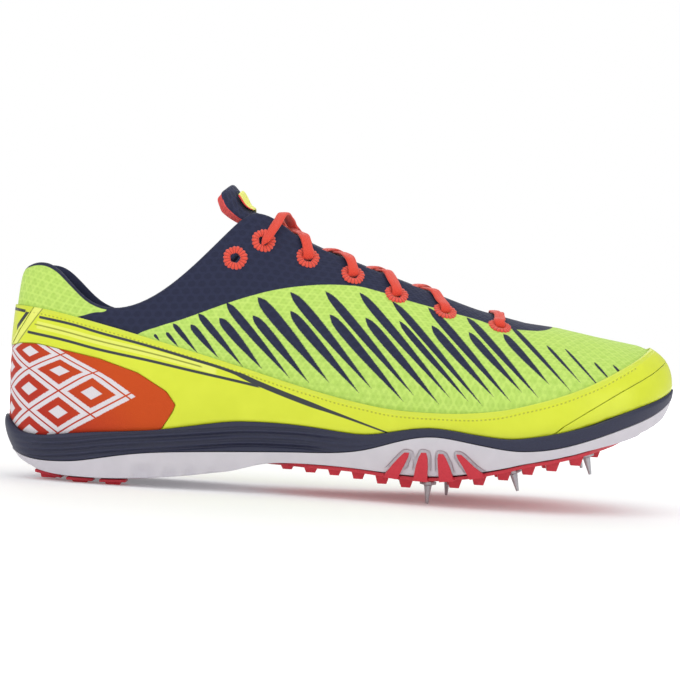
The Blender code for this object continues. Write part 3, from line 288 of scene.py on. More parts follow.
def surface(tree, colour, height, strength, roughness, levels=(), depth=0.0004):
    """Gives a material its colour, its relief and its roughness, and sets the shader's other levels."""
    shader = tree.nodes["Principled BSDF"]
    feed(tree, shader.inputs["Base Color"], colour)
    feed(tree, shader.inputs["Roughness"], roughness)
    bump = wire(tree, "Bump")
    bump.inputs["Strength"].default_value = strength
    bump.inputs["Distance"].default_value = depth
    tree.links.new(height, bump.inputs["Height"])
    tree.links.new(bump.outputs["Normal"], shader.inputs["Normal"])
    for label, level in levels:
        shader.inputs[label].default_value = level


def group_of(name, inputs, outputs):
    """An empty shader group with named inputs and outputs."""
    group = bpy.data.node_groups.new(name, "ShaderNodeTree")
    for label, kind in inputs:
        group.interface.new_socket(label, in_out="INPUT", socket_type=kind)
    for label in outputs:
        group.interface.new_socket(label, in_out="OUTPUT", socket_type="NodeSocketFloat")
    return group, group.nodes.new("NodeGroupInput"), group.nodes.new("NodeGroupOutput")


def placed(tree, group, *values):
    """A shader group placed in a material."""
    return wire(tree, "Group", *values, node_tree=group)


def grained(tree, scale):
    """Grain at a scale, laid through the whole piece."""
    return placed(tree, grain, wire(tree, "TexCoord").outputs["Object"], scale)


# Round cells in a honeycomb layout, as in a warp-knitted mesh.
cells, cells_in, cells_out = group_of(
    "knit_cells", (("Vector", "NodeSocketVector"), ("Pitch", "NodeSocketFloat"), ("Size", "NodeSocketFloat")),
    ("Hole", "Height"))
spread = wire(cells, "VectorMath", cells_in.outputs["Vector"], None, operation="SCALE")
cells.links.new(calc(cells, "DIVIDE", 1.0, cells_in.outputs["Pitch"]), spread.inputs["Scale"])
lattices = []
for shift in ((0.0, 0.0, 0.0), (0.5, 0.5, 0.0)):
    laid = wire(cells, "VectorMath", spread.outputs[0], (1.0, 0.57735, 0.0), shift, operation="MULTIPLY_ADD")
    one = wire(cells, "VectorMath", laid.outputs[0], operation="FRACTION")
    middle = wire(cells, "VectorMath", one.outputs[0], (0.5, 0.5, 0.0), operation="SUBTRACT")
    lattices.append(wire(cells, "VectorMath", middle.outputs[0], (1.0, 1.73205, 0.0), operation="MULTIPLY"))
reach = [wire(cells, "VectorMath", spot.outputs[0], operation="LENGTH").outputs["Value"] for spot in lattices]
nearest = calc(cells, "MINIMUM", *reach)
cells.links.new(above(cells, cells_in.outputs["Size"], nearest, 0.05), cells_out.inputs["Hole"])
cells.links.new(calc(cells, "MULTIPLY", nearest, 1.8), cells_out.inputs["Height"])

# Uneven grain at one scale, for yarn, foam and rubber.
grain, grain_in, grain_out = group_of(
    "grain", (("Vector", "NodeSocketVector"), ("Scale", "NodeSocketFloat")), ("Fine", "Broad"))
for label, factor, detail in (("Fine", 1.0, 2.0), ("Broad", 0.12, 3.0)):
    noise = wire(grain, "TexNoise")
    grain.links.new(grain_in.outputs["Vector"], noise.inputs["Vector"])
    grain.links.new(calc(grain, "MULTIPLY", grain_in.outputs["Scale"], factor), noise.inputs["Scale"])
    noise.inputs["Detail"].default_value = detail
    grain.links.new(noise.outputs["Fac"], grain_out.inputs[label])

# The foot's middle line, as (X, Y, Z) in metres. What faces away from it is the outside.
FOOT_LINE = (
    (-0.108, -0.0035, 0.044), (-0.060, -0.0010, 0.043), (0.000, 0.0018, 0.043),
    (0.060, 0.0042, 0.042), (0.098, 0.0065, 0.043), (0.127, 0.0078, 0.047),
)


def foot_middle(x):
    """The point of the foot's middle line beside an X."""
    x = min(max(x, FOOT_LINE[0][0]), FOOT_LINE[-1][0])
    for back, front in zip(FOOT_LINE, FOOT_LINE[1:]):
        if x <= front[0]:
            share = (x - back[0]) / (front[0] - back[0])
            return Vector(back).lerp(Vector(front), share)


def faces_out(polygon):
    """True if a face of the shoe's skin looks away from the foot."""
    return (polygon.center - foot_middle(polygon.center.x)).dot(polygon.normal) > 0


def lay_skin(piece):
    """Writes each point's place on the shoe's skin in metres: along it, and up it and over the top."""
    skin = piece.data.attributes.new("skin", "FLOAT_VECTOR", "POINT")
    for vertex, value in zip(piece.data.vertices, skin.data):
        middle = foot_middle(vertex.co.x)
        ahead = vertex.co.x - middle.x
        across = abs(vertex.co.y - middle.y)
        turn = math.atan2(abs(ahead), across) * math.copysign(0.030, ahead) if ahead else 0.0
        rise = vertex.co.z - middle.z
        over = (math.hypot(ahead, across) - 0.036) * min(max(rise / 0.020, 0.0), 1.0)
        value.vector = (middle.x + turn, rise - over, 0.0)


def lay_distance(piece, name, spots):
    """Writes each point's distance in mm from the nearest of some spots."""
    tree = KDTree(len(spots))
    for number, spot in enumerate(spots):
        tree.insert(spot, number)
    tree.balance()
    layer = piece.data.attributes.new(name, "FLOAT", "POINT")
    for vertex, value in zip(piece.data.vertices, layer.data):
        value.value = tree.find(vertex.co)[2] * 1000


MESH_LOFT = 0.0005
RIM_FOOT = 0.064
KNIT_LEVELS = (("Sheen Weight", 0.08), ("Specular IOR Level", 0.25))

upper = node_copy("upper", "upper_shell")
smooth(upper, 2)
outside = {v for face in upper.data.polygons if faces_out(face) for v in face.vertices}
inside = {v for face in upper.data.polygons if not faces_out(face) for v in face.vertices}
shared = [upper.data.vertices[number].co.copy() for number in outside & inside]
rim = [spot for spot in shared if spot.z > RIM_FOOT]
lofts = {number: upper.data.vertices[number].normal * MESH_LOFT for number in outside - inside}
for number, loft in lofts.items():
    upper.data.vertices[number].co += loft
lay_distance(upper, "rim", rim)
lay_skin(upper)

mesh_material, tree = material_for("engineered_mesh")
x, _, z = places(tree)
skin = wire(tree, "Attribute", attribute_name="skin").outputs["Vector"]
from_rim = wire(tree, "Attribute", attribute_name="rim").outputs["Fac"]
small = placed(tree, cells, skin, 0.0021, 0.30)
large = placed(tree, cells, skin, 0.0043, 0.36)
yarn = placed(tree, grain, skin, 2600.0)

# The blades. Each leans back at 46.5 degrees. Across them they are counted one by one, long and short
# in turn, and each has its own top, foot and greatest half width in mm.
LEAN = math.radians(46.5)
BLADE_STEP = 5.7
BEYOND_ENDS = 2.5
across = calc(tree, "MULTIPLY_ADD", z, math.cos(LEAN), calc(tree, "MULTIPLY", x, math.sin(LEAN)))
along = calc(tree, "MULTIPLY_ADD", z, -math.sin(LEAN), calc(tree, "MULTIPLY", x, math.cos(LEAN)))
BLADE_COUNT = (
    (-19.0, -2.2), (-13.6, -1.0), (-9.3, 0.0), (-4.9, 1.0), (0.4, 2.0), (5.7, 3.0), (11.1, 4.0),
    (17.4, 5.0), (22.2, 6.0), (28.6, 7.0), (35.2, 8.0), (40.2, 9.0), (46.7, 10.0), (51.5, 11.0),
    (57.0, 12.0), (62.0, 13.0), (66.8, 14.0), (70.0, 15.0), (75.8, 16.0), (79.8, 17.0), (85.8, 18.0),
    (89.5, 19.0), (96.5, 20.0), (101.5, 21.0), (107.0, 22.0), (112.0, 23.0), (117.5, 24.0), (123.0, 25.0),
    (129.0, 26.0), (135.0, 27.0), (200.0, 38.0),
)
LONG_TOPS = (
    (-1.0, -99.5), (1.0, -98.0), (3.0, -94.5), (5.0, -90.5), (7.0, -84.0), (9.0, -77.0), (11.0, -68.0),
    (13.0, -58.5), (15.0, -47.0), (17.0, -35.5), (19.0, -22.0), (21.0, -8.0), (23.0, 14.0), (25.0, 32.0),
    (27.0, 48.0),
)
LONG_FEET = (
    (-1.0, -96.0), (1.0, -82.0), (3.0, -66.0), (5.0, -50.0), (7.0, -38.0), (9.0, -25.0), (11.0, -12.0),
    (13.0, -2.0), (15.0, 9.0), (17.0, 15.0), (19.0, 21.0), (21.0, 28.0), (23.0, 38.0), (25.0, 46.0),
    (27.0, 56.0),
)
SHORT_TOPS = (
    (0.0, -97.0), (2.0, -93.0), (4.0, -87.5), (6.0, -79.5), (8.0, -71.0), (10.0, -59.5), (12.0, -49.0),
    (14.0, -39.0), (16.0, -29.0), (18.0, -17.0), (20.0, -7.0), (22.0, 8.0), (24.0, 26.0), (26.0, 42.0),
)
SHORT_FEET = (
    (0.0, -89.0), (2.0, -75.0), (4.0, -60.0), (6.0, -43.5), (8.0, -27.0), (10.0, -13.0), (12.0, -3.0),
    (14.0, 4.0), (16.0, 9.0), (18.0, 15.0), (20.0, 20.0), (22.0, 28.0), (24.0, 37.0), (26.0, 48.0),
)
BLADE_WIDTHS = (
    (-1.0, 0.8), (1.0, 1.25), (3.0, 1.6), (5.0, 1.9), (7.0, 2.0), (10.0, 2.05), (16.0, 2.0), (19.0, 1.7),
    (21.0, 1.1), (23.0, 0.6), (27.0, 0.5),
)
BLADE_FORM = (
    (0.0, 0.0), (0.04, 0.50), (0.11, 0.88), (0.22, 1.0), (0.42, 0.92), (0.62, 0.68), (0.82, 0.36), (1.0, 0.0),
)


def drawn_small(tree, value, points):
    """A drawn line whose heights are shares."""
    tall = drawn(tree, value, [(where, much * 100) for where, much in points])
    return calc(tree, "DIVIDE", tall, 100.0)


count = drawn(tree, across, BLADE_COUNT)


def blades(tree, first, tops, feet):
    """The half width left to the side of the nearest blade of one set, in mm."""
    half = calc(tree, "DIVIDE", calc(tree, "SUBTRACT", count, first), 2.0)
    number = calc(tree, "MULTIPLY_ADD", calc(tree, "ROUND", half), 2.0, first)
    top = drawn(tree, number, tops)
    length = calc(tree, "SUBTRACT", drawn(tree, number, feet), top)
    share = calc(tree, "DIVIDE", calc(tree, "SUBTRACT", along, top), length)
    width = both(tree, drawn_small(tree, share, BLADE_FORM), drawn_small(tree, number, BLADE_WIDTHS))
    beyond = calc(tree, "SUBTRACT", 1.0, calc(tree, "COMPARE", share, 0.5, 0.5))
    width = calc(tree, "MULTIPLY_ADD", beyond, -BEYOND_ENDS, width)
    side = calc(tree, "ABSOLUTE", calc(tree, "SUBTRACT", count, number))
    return calc(tree, "MULTIPLY_ADD", side, -BLADE_STEP, width)


ragged = calc(tree, "MULTIPLY", calc(tree, "SUBTRACT", yarn.outputs["Fine"], 0.5), 0.8)
long_room = blades(tree, 1.0, LONG_TOPS, LONG_FEET)
blade_room = either(tree, long_room, blades(tree, 0.0, SHORT_TOPS, SHORT_FEET))
on_blade = above(tree, calc(tree, "ADD", blade_room, ragged), 0.0, 0.20)

# The lime side ends along this line, above which all is navy, and the lime patch behind the ankle lies
# above its own line. Both are seen from the side, in mm.
QUARTER_LINE = (
    (-86.5, 50.0), (-85.6, 62.0), (-76.1, 66.4), (-68.0, 69.4), (-59.9, 72.8), (-49.9, 77.1), (-39.7, 81.0),
    (-29.7, 84.1), (-19.6, 86.2), (-9.2, 87.5), (1.1, 87.8), (11.6, 86.3), (22.3, 83.6), (32.9, 81.3),
    (43.5, 79.1), (54.3, 76.8), (65.1, 74.1), (78.0, 73.6), (86.0, 75.0), (92.0, 84.0),
)
ANKLE_LINE = (
    (-140.0, 40.0), (-113.0, 60.0), (-111.5, 67.0), (-107.0, 69.2), (-103.7, 70.3), (-99.0, 71.3),
    (-97.5, 80.0),
)
ANKLE_FRONT = -97.6
BINDING_WIDTH = 3.4
BINDING_FRONT = -40.0
navy_quarter = above(tree, calc(tree, "MULTIPLY_ADD", ragged, 0.5, z), drawn(tree, x, QUARTER_LINE))
ankle = both(tree, above(tree, z, drawn(tree, x, ANKLE_LINE)), calc(tree, "LESS_THAN", x, ANKLE_FRONT))
bound = both(tree, below(tree, from_rim, BINDING_WIDTH), calc(tree, "LESS_THAN", x, BINDING_FRONT))
dark = both(tree, either(tree, on_blade, navy_quarter), calc(tree, "SUBTRACT", 1.0, ankle))
dark = either(tree, dark, bound)
# Under the film, more than 4 mm below its edge, the mesh is dyed as the film is.
FILM_LINE = (
    (-144.6, 61.0), (-101.3, 54.0), (-75.7, 48.0), (-44.8, 42.0), (-13.4, 39.0), (7.0, 35.0),
    (27.7, 33.0), (52.1, 33.0), (76.2, 38.0), (101.2, 47.0), (114.2, 53.0), (125.8, 60.0), (141.7, 72.0),
)

LIME = shade(184, 219, 98)
LIME_LIGHT = shade(205, 232, 122)
LIME_HOLE = shade(150, 192, 74)
NAVY = shade(30, 34, 58)
NAVY_LIGHT = shade(48, 53, 80)
NAVY_HOLE = shade(22, 25, 46)
lime = blend(tree, yarn.outputs["Broad"], LIME, LIME_LIGHT)
lime = tint(tree, lime, large.outputs["Hole"], 0.26, LIME_HOLE)
lime = tint(tree, lime, small.outputs["Hole"], 0.24, LIME_HOLE)
navy = blend(tree, yarn.outputs["Fine"], NAVY, NAVY_LIGHT)
navy = tint(tree, navy, large.outputs["Hole"], 0.3, NAVY_HOLE)
hidden = below(tree, z, drawn(tree, x, FILM_LINE), 0.8)
fabric = blend(tree, hidden, blend(tree, dark, lime, navy), shade(222, 234, 60))
relief = calc(tree, "MULTIPLY", small.outputs["Height"], 0.45)
for height, amount in ((large.outputs["Height"], 0.35), (yarn.outputs["Fine"], 0.3), (bound, 0.8)):
    relief = calc(tree, "MULTIPLY_ADD", height, amount, relief)
surface(tree, fabric, relief, 0.55, ranged(tree, yarn.outputs["Fine"], 0.62, 0.86),
        (("Sheen Weight", 0.06), ("Sheen Roughness", 0.4), ("Specular IOR Level", 0.25)), depth=0.00045)

lining_material, tree = material_for("lining_knit")
knit = grained(tree, 1900.0).outputs["Fine"]
surface(tree, blend(tree, knit, shade(28, 32, 54), shade(50, 55, 80)), knit, 0.5, 0.9, KNIT_LEVELS)

upper.data.materials.append(mesh_material)
upper.data.materials.append(lining_material)
for face in upper.data.polygons:
    face.material_index = 0 if faces_out(face) else 1
fitted(upper, "upper", slot="upper_mesh")


# The collar's padding. Foam under a knitted lining, on the inner side of the upper behind the ankle,
# with one sewn line below the binding. It is taken from the shell's own inner faces.

PADDING_FRONT = -0.046
PADDING_FOOT = 0.046
SEWN_LINE = 9.0

collar = bpy.data.objects.new("collar_padding", upper.data.copy())
bpy.context.scene.collection.objects.link(collar)
collar.data.materials.clear()
for layer in ("rim", "skin"):
    collar.data.attributes.remove(collar.data.attributes[layer])
shell = bmesh.new()
shell.from_mesh(collar.data)
shell.faces.ensure_lookup_table()
others = []
for face in shell.faces:
    centre = face.calc_center_median()
    looks_in = (centre - foot_middle(centre.x)).dot(face.normal) < 0
    if not (looks_in and centre.x < PADDING_FRONT and centre.z > PADDING_FOOT):
        others.append(face)
bmesh.ops.delete(shell, geom=others, context="FACES")
shell.to_mesh(collar.data)
shell.free()
apply(collar, "SOLIDIFY", thickness=0.0012, offset=0.35, use_rim=True)
smooth(collar, 1)
lay_distance(collar, "rim", rim)
padding_material, tree = material_for("collar_lining")
knit = grained(tree, 2100.0).outputs["Fine"]
from_rim = wire(tree, "Attribute", attribute_name="rim").outputs["Fac"]
sewn = near(tree, from_rim, SEWN_LINE, 0.5, 0.4)
relief = calc(tree, "MULTIPLY_ADD", sewn, -1.5, calc(tree, "MULTIPLY", knit, 0.5))
surface(tree, blend(tree, knit, shade(30, 34, 58), shade(54, 59, 86)), relief, 0.6, 0.9, KNIT_LEVELS)
collar.data.materials.append(padding_material)
fitted(collar, slot="upper_mesh")


# The film round the foot of the upper: a band, a tab behind the heel and a cap at the toe, all of one
# glossy neon synthetic that is pressed on hot, with printed stripes and a pricked line along its edge.

FILM_YELLOW = shade(208, 219, 28)
FILM_BRIGHT = shade(222, 232, 48)
FILM_PALE = shade(236, 240, 120)
FILM_EDGE = shade(205, 220, 70)
FILM_PRICK = shade(160, 168, 40)
STRIPE_NAVY = shade(38, 44, 48)
STRIPE_OLIVE = shade(150, 158, 40)
BAND_LINE = (
    (-144.6, 72.5), (-127.6, 71.0), (-101.3, 65.9), (-75.7, 59.9), (-44.8, 52.3), (-13.4, 44.1), (7.0, 39.8),
    (27.7, 37.5), (52.1, 37.9), (76.2, 42.9), (101.2, 51.9), (114.2, 58.7), (125.8, 65.5), (132.6, 70.3),
    (141.7, 80.1),
)
UPPER_STRIPE = (
    (-127.0, 67.3), (-113.1, 65.1), (-100.3, 62.1), (-83.4, 58.6), (-64.8, 54.3), (-46.1, 49.6),
    (-33.4, 44.9), (-16.6, 39.3), (2.2, 33.7), (18.8, 28.7), (30.0, 25.5),
)
UPPER_STRIPE_WIDTH = (
    (-127.0, 0.56), (-60.0, 0.60), (-45.0, 0.70), (-38.0, 1.15), (-20.0, 1.15), (-5.0, 0.75), (18.0, 0.35),
    (30.0, 0.28),
)
LOWER_STRIPE = (
    (-131.0, 60.8), (-117.1, 58.7), (-99.8, 55.2), (-79.0, 51.9), (-62.5, 49.0), (-45.9, 46.2), (-33.4, 44.0),
)
OLIVE_STRIPE = ((-129.0, 64.3), (-117.3, 62.3), (-100.0, 58.7), (-80.0, 55.2), (-62.0, 51.6), (-50.0, 48.9))
# At the heel a bar falls forward, and from it a line slants down and back. A pale strip with an olive edge
# lies ahead of that line.
HEEL_BAR_FALL = -0.14
HEEL_BAR_HEIGHT = 50.7
HEEL_BAR_FRONT = -132.6
SLANT_LEAN = -0.72
SLANT_PLACE = 181.2
SLANT_TOP = 68.9
SLANT_BACK = -136.4
STRIP_FRONT = -118.0
STRIP_EDGE = 5.4
WELT_WIDTH = 1.5
PRICK_LINE = 2.3
PRICK_RATE = 3.7
PRICKS_FRONT = 122.0

film_material, tree = material_for("neon_film")
x, _, z = places(tree)
mottle = grained(tree, 900.0)


def stripe(tree, line, half, start, end):
    """A printed line along a drawn one, between two X."""
    mask = near(tree, z, drawn(tree, x, line), half)
    return both(tree, mask, above(tree, x, start, 0.3), below(tree, x, end, 0.8))


first = stripe(tree, UPPER_STRIPE, drawn_small(tree, x, UPPER_STRIPE_WIDTH), -126.2, 24.0)
second = stripe(tree, LOWER_STRIPE, 0.58, -131.0, -34.0)
third = stripe(tree, OLIVE_STRIPE, 0.32, -128.0, -58.0)
between = stripe(tree, OLIVE_STRIPE, 1.5, -127.0, -52.0)
heel_bar = near(tree, z, calc(tree, "MULTIPLY_ADD", x, HEEL_BAR_FALL, HEEL_BAR_HEIGHT), 0.62)
heel_bar = both(tree, heel_bar, calc(tree, "LESS_THAN", x, HEEL_BAR_FRONT))
slant = calc(tree, "ADD", calc(tree, "MULTIPLY_ADD", z, SLANT_LEAN, SLANT_PLACE), x)
heel_slant = both(tree, near(tree, slant, 0.0, 0.85), calc(tree, "LESS_THAN", z, SLANT_TOP),
                  calc(tree, "GREATER_THAN", x, SLANT_BACK))
behind = calc(tree, "LESS_THAN", x, STRIP_FRONT)
heel_strip = both(tree, above(tree, slant, 1.0, 0.3), below(tree, slant, 5.2, 0.2), behind)
strip_edge = both(tree, near(tree, slant, STRIP_EDGE, 0.3), behind)
under_edge = calc(tree, "SUBTRACT", drawn(tree, x, BAND_LINE), z)
welt = below(tree, under_edge, WELT_WIDTH, 0.35)
dots = above(tree, calc(tree, "SINE", calc(tree, "MULTIPLY", x, PRICK_RATE)), 0.1, 0.5)
pricked = both(tree, near(tree, under_edge, PRICK_LINE, 0.28, 0.14), dots,
               calc(tree, "LESS_THAN", x, PRICKS_FRONT))
colour = blend(tree, mottle.outputs["Broad"], FILM_YELLOW, FILM_BRIGHT)
colour = tint(tree, colour, between, 0.6, FILM_PALE)
colour = tint(tree, colour, welt, 0.55, FILM_EDGE)
colour = tint(tree, colour, pricked, 0.75, FILM_PRICK)
colour = tint(tree, colour, heel_strip, 0.7, FILM_PALE)
colour = blend(tree, either(tree, third, strip_edge), colour, STRIPE_OLIVE)
colour = blend(tree, either(tree, first, second, heel_bar, heel_slant), colour, STRIPE_NAVY)
relief = calc(tree, "SUBTRACT", calc(tree, "MULTIPLY", mottle.outputs["Fine"], 0.12), pricked)
relief = calc(tree, "MULTIPLY_ADD", welt, -0.5, relief)
relief = calc(tree, "MULTIPLY_ADD", heel_strip, 0.8, relief)
surface(tree, colour, relief, 0.5, ranged(tree, mottle.outputs["Fine"], 0.30, 0.46),
        (("Coat Weight", 0.12), ("Coat Roughness", 0.25)))


def faces_of(node):
    """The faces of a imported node, to cast rays at and to measure from."""
    shell = bmesh.new()
    shell.from_mesh(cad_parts[node].data)
    faces = BVHTree.FromBMesh(shell)
    shell.free()
    return faces


PRESS_REACH = 0.0018
SEAT_GAP = 0.00005
carrier_faces = faces_of("midsole_carrier")


def press_down(piece):
    """Closes the last of the gap between a piece's foot and the carrier's rim."""
    for vertex in piece.data.vertices:
        seat = carrier_faces.ray_cast(vertex.co, (0.0, 0.0, -1.0), PRESS_REACH)[0]
        if seat:
            vertex.co.z = seat.z + SEAT_GAP


for node, name in (("rand", "film_band"), ("heel_tab", "film_heel_tab"), ("toe_cap", "film_toe_cap")):
    film = node_copy(node, name)
    press_down(film)
    hold_edges(film)
    smooth(film, 2)
    film.data.materials.append(film_material)
    fitted(film, node, slot="rand")


# The heel counter. A firm woven patch in the window of the film, dyed from red to orange, with a white
# screen print of a diamond trellis.

TRELLIS_PITCH = 17.5
TRELLIS_LEAN = 0.62
TRELLIS_RISE = 6.5
TRELLIS_PHASE = 395.9
BAR_HALF = 2.5
VEIN_HALF = 0.38
HEART_FROM = 6.0
PRINT_END = -52.15

counter = node_copy("counter", "heel_counter")
press_down(counter)
hold_edges(counter)
smooth(counter, 2)
lay_skin(counter)
counter_material, tree = material_for("printed_counter")
x, _, z = places(tree)
skin = wire(tree, "Attribute", attribute_name="skin").outputs["Vector"]
cloth = placed(tree, grain, skin, 2400.0).outputs["Fine"]
flat = wire(tree, "SeparateXYZ", skin)
u = calc(tree, "MULTIPLY", flat.outputs[0], 1000.0)
v = calc(tree, "MULTIPLY_ADD", flat.outputs[1], 1000.0, TRELLIS_RISE)
rough_edge = calc(tree, "MULTIPLY", calc(tree, "SUBTRACT", cloth, 0.5), 1.1)


def trellis(tree, phase):
    """Distance in mm from the nearest bar of one set of the trellis."""
    turned = calc(tree, "DIVIDE", calc(tree, "ADD", phase, TRELLIS_PHASE), TRELLIS_PITCH)
    share = calc(tree, "ABSOLUTE", calc(tree, "SUBTRACT", calc(tree, "FRACT", turned), 0.5))
    return calc(tree, "MULTIPLY", share, TRELLIS_PITCH)


rising = calc(tree, "MULTIPLY_ADD", u, TRELLIS_LEAN, v)
falling = calc(tree, "SUBTRACT", calc(tree, "MULTIPLY", u, TRELLIS_LEAN), v)
bar = calc(tree, "MINIMUM", trellis(tree, rising), trellis(tree, falling))
bars = below(tree, calc(tree, "ADD", bar, rough_edge), BAR_HALF, 0.16)
bars = both(tree, bars, above(tree, bar, VEIN_HALF))
foremost = calc(tree, "ADD", calc(tree, "MAXIMUM", rising, falling), rough_edge)
printed = either(tree, bars, above(tree, bar, HEART_FROM, 0.2))
printed = both(tree, printed, below(tree, foremost, PRINT_END, 0.2))
warmth = wire(tree, "MapRange", calc(tree, "MULTIPLY_ADD", z, 0.8, x), -100.0, -60.0, 0.0, 1.0).outputs[0]
dye = blend(tree, warmth, shade(172, 24, 22), shade(196, 68, 8))
dye = tint(tree, dye, cloth, 0.25, shade(222, 100, 40))
white = blend(tree, cloth, shade(206, 200, 206), shade(236, 230, 234))
relief = calc(tree, "MULTIPLY_ADD", cloth, 0.6, calc(tree, "MULTIPLY", printed, 0.5))
surface(tree, blend(tree, printed, dye, white), relief, 0.45, 0.6, (("Specular IOR Level", 0.25),))
counter.data.materials.append(counter_material)
fitted(counter, "counter", slot="counter")


# The carrier. The dark upper half of the midsole, moulded EVA foam in a cup round the foot of the
# upper, with long shallow flutes along its sides.

carrier = node_copy("midsole_carrier", "midsole_dark")
hold_edges(carrier)
smooth(carrier, 2)
dark_foam, tree = material_for("dark_foam")
x, _, z = places(tree)
pore = grained(tree, 1500.0).outputs["Fine"]
FLUTE_LINE = (
    (-141.8, 17.5), (-133.0, 14.0), (-124.0, 13.4), (-112.0, 14.3), (-95.0, 16.9), (-81.0, 18.6),
    (-65.0, 20.4), (-51.0, 22.0), (-40.0, 23.2), (-17.0, 23.8), (0.0, 23.2), (11.0, 23.6), (24.0, 27.8),
    (36.0, 30.6), (48.0, 29.1), (60.0, 26.5), (76.0, 27.1), (89.0, 29.6), (102.0, 33.2), (115.0, 38.3),
    (127.0, 42.6), (141.0, 49.0),
)
FLUTES_HALF = 4.2
height = calc(tree, "SUBTRACT", z, drawn(tree, x, FLUTE_LINE))
waves = calc(tree, "COSINE", calc(tree, "MULTIPLY", height, 2.5))
flutes = both(tree, waves, near(tree, height, 0.0, FLUTES_HALF, 0.6), above(tree, x, -128.0, 10.0),
              below(tree, x, -2.0, 16.0))
# The flutes' crests are painted lighter and their troughs darker: painted highlight and painted shade over
# their bump, mixed with the foam's random pores.
tone = calc(tree, "MULTIPLY_ADD", flutes, 0.28, pore)
relief = calc(tree, "MULTIPLY_ADD", pore, 0.14, flutes)
surface(tree, blend(tree, tone, shade(26, 29, 53), shade(40, 44, 72)), relief, 0.9, 0.55, depth=0.0005)
carrier.data.materials.append(dark_foam)
fitted(carrier, "midsole_carrier", slot="carrier_foam")


# The midsole's light half. Moulded silver-white EVA from the heel to the toe, dented along the heel's
# side and grooved round each prong of the plate.

foam = node_copy("midsole_foam", "midsole_light")
hold_edges(foam)
smooth(foam, 3)
plate_faces = faces_of("plate")
layer = foam.data.attributes.new("prong", "FLOAT", "POINT")
for vertex, value in zip(foam.data.vertices, layer.data):
    value.value = plate_faces.find_nearest(vertex.co)[3] * 1000
light_foam, tree = material_for("light_foam")
x, _, z = places(tree)
pore = grained(tree, 1100.0)
from_prong = wire(tree, "Attribute", attribute_name="prong").outputs["Fac"]
groove = both(tree, near(tree, from_prong, 1.1, 0.30, 0.25), above(tree, z, 14.5, 0.8),
              above(tree, x, 8.0, 2.0), below(tree, x, 76.0, 2.0))
DENTS = (
    (-141.0, 0.0), (-86.0, 0.0), (-79.5, 1.0), (-73.0, 0.0), (-69.0, 0.8), (-64.5, 0.0), (-60.5, 0.9),
    (-56.5, 0.0), (-52.0, 0.6), (-47.0, 0.0), (141.0, 0.0),
)
dent = both(tree, drawn_small(tree, x, DENTS), below(tree, z, 8.5, 3.0))
colour = blend(tree, pore.outputs["Broad"], shade(196, 192, 200), shade(211, 207, 214))
# The grooves round the prongs are painted darker grey: painted shade in them, over their bump.
colour = tint(tree, colour, groove, 0.5, shade(160, 158, 168))
# The dents along the heel's side are painted darker: painted shade in them, over their bump.
colour = tint(tree, colour, dent, 0.25, shade(180, 176, 190))
relief = calc(tree, "SUBTRACT", calc(tree, "MULTIPLY", pore.outputs["Fine"], 0.08), groove)
surface(tree, colour, calc(tree, "MULTIPLY_ADD", dent, -2.5, relief), 0.8, 0.5, depth=0.0006)
foam.data.materials.append(light_foam)
fitted(foam, "midsole_foam", slot="white_foam")


# The insole. A die-cut sheet of foam under navy cloth, laid loose on the floor of the carrier.

insole = node_copy("insole", "insole_cloth")
smooth(insole, 2)
insole_material, tree = material_for("insole_cloth")
twill = placed(tree, cells, wire(tree, "TexCoord").outputs["Object"], 0.0016, 0.34)
pile = grained(tree, 1800.0).outputs["Fine"]
colour = blend(tree, pile, shade(30, 33, 56), shade(50, 54, 80))
colour = tint(tree, colour, twill.outputs["Hole"], 0.5, shade(28, 31, 50))
surface(tree, colour, calc(tree, "ADD", twill.outputs["Height"], pile), 0.4, 0.9)
insole.data.materials.append(insole_material)
fitted(insole, "insole", slot="insole")


# The outsole. A red rubber plate with rows of studs and four prongs up each side, and six heel pads,
# all moulded and cemented on. Their edges are rounded, and their faces carry a fine moulded tooth.

rubber_material, tree = material_for("red_rubber")
x, y, _ = places(tree)
tooth = grained(tree, 1300.0)
ribs = calc(tree, "SINE", calc(tree, "MULTIPLY", calc(tree, "ADD", x, y), 5.2))
upward = wire(tree, "SeparateXYZ", wire(tree, "NewGeometry").outputs["Normal"]).outputs[2]
tread = both(tree, ribs, below(tree, upward, -0.75, 0.1))
relief = calc(tree, "MULTIPLY_ADD", tooth.outputs["Fine"], 0.3, tread)
surface(tree, blend(tree, tooth.outputs["Fine"], shade(184, 24, 44), shade(210, 46, 62)), relief, 0.35,
        ranged(tree, tooth.outputs["Broad"], 0.36, 0.52))

for node in ("plate", *(f"heel_pad_{number}" for number in range(1, 7))):
    rubber = node_copy(node, node.replace("plate", "stud_plate").replace("heel_pad", "heel_lug"))
    apply(rubber, "BEVEL", width=0.00035, segments=2, limit_method="ANGLE", angle_limit=math.radians(28))
    bpy.ops.object.shade_smooth_by_angle(angle=math.radians(38))
    rubber.data.materials.append(rubber_material)
    fitted(rubber, node, slot="plate")


# The pins. Six turned steel spikes with a flange, screwed into the plate.

steel_material, tree = material_for("turned_steel")
scratch = grained(tree, 1700.0).outputs["Fine"]
turning = calc(tree, "SINE", calc(tree, "MULTIPLY", places(tree)[2], 16.0))
surface(tree, blend(tree, scratch, shade(158, 158, 162), shade(198, 198, 202)), turning, 0.12,
        ranged(tree, scratch, 0.22, 0.42), (("Metallic", 1.0),))
for number in range(1, 7):
    pin = node_copy(f"pin_{number}", f"spike_{number}")
    apply(pin, "BEVEL", width=0.00018, segments=2, limit_method="ANGLE", angle_limit=math.radians(25))
    smooth(pin, 1)
    bpy.ops.object.shade_smooth_by_angle(angle=math.radians(40))
    pin.data.materials.append(steel_material)
    fitted(pin, f"pin_{number}", slot="pins")


# The tongue. A padded strip of navy mesh with a red lining, sewn in at the front of the throat and
# free at its top, with a bare woven label on its front.

TONGUE_LOFT = 0.0009
TONGUE_ROOT = 0.012
ROOT_REACH = Vector((0.019, 0.0, -0.0036))

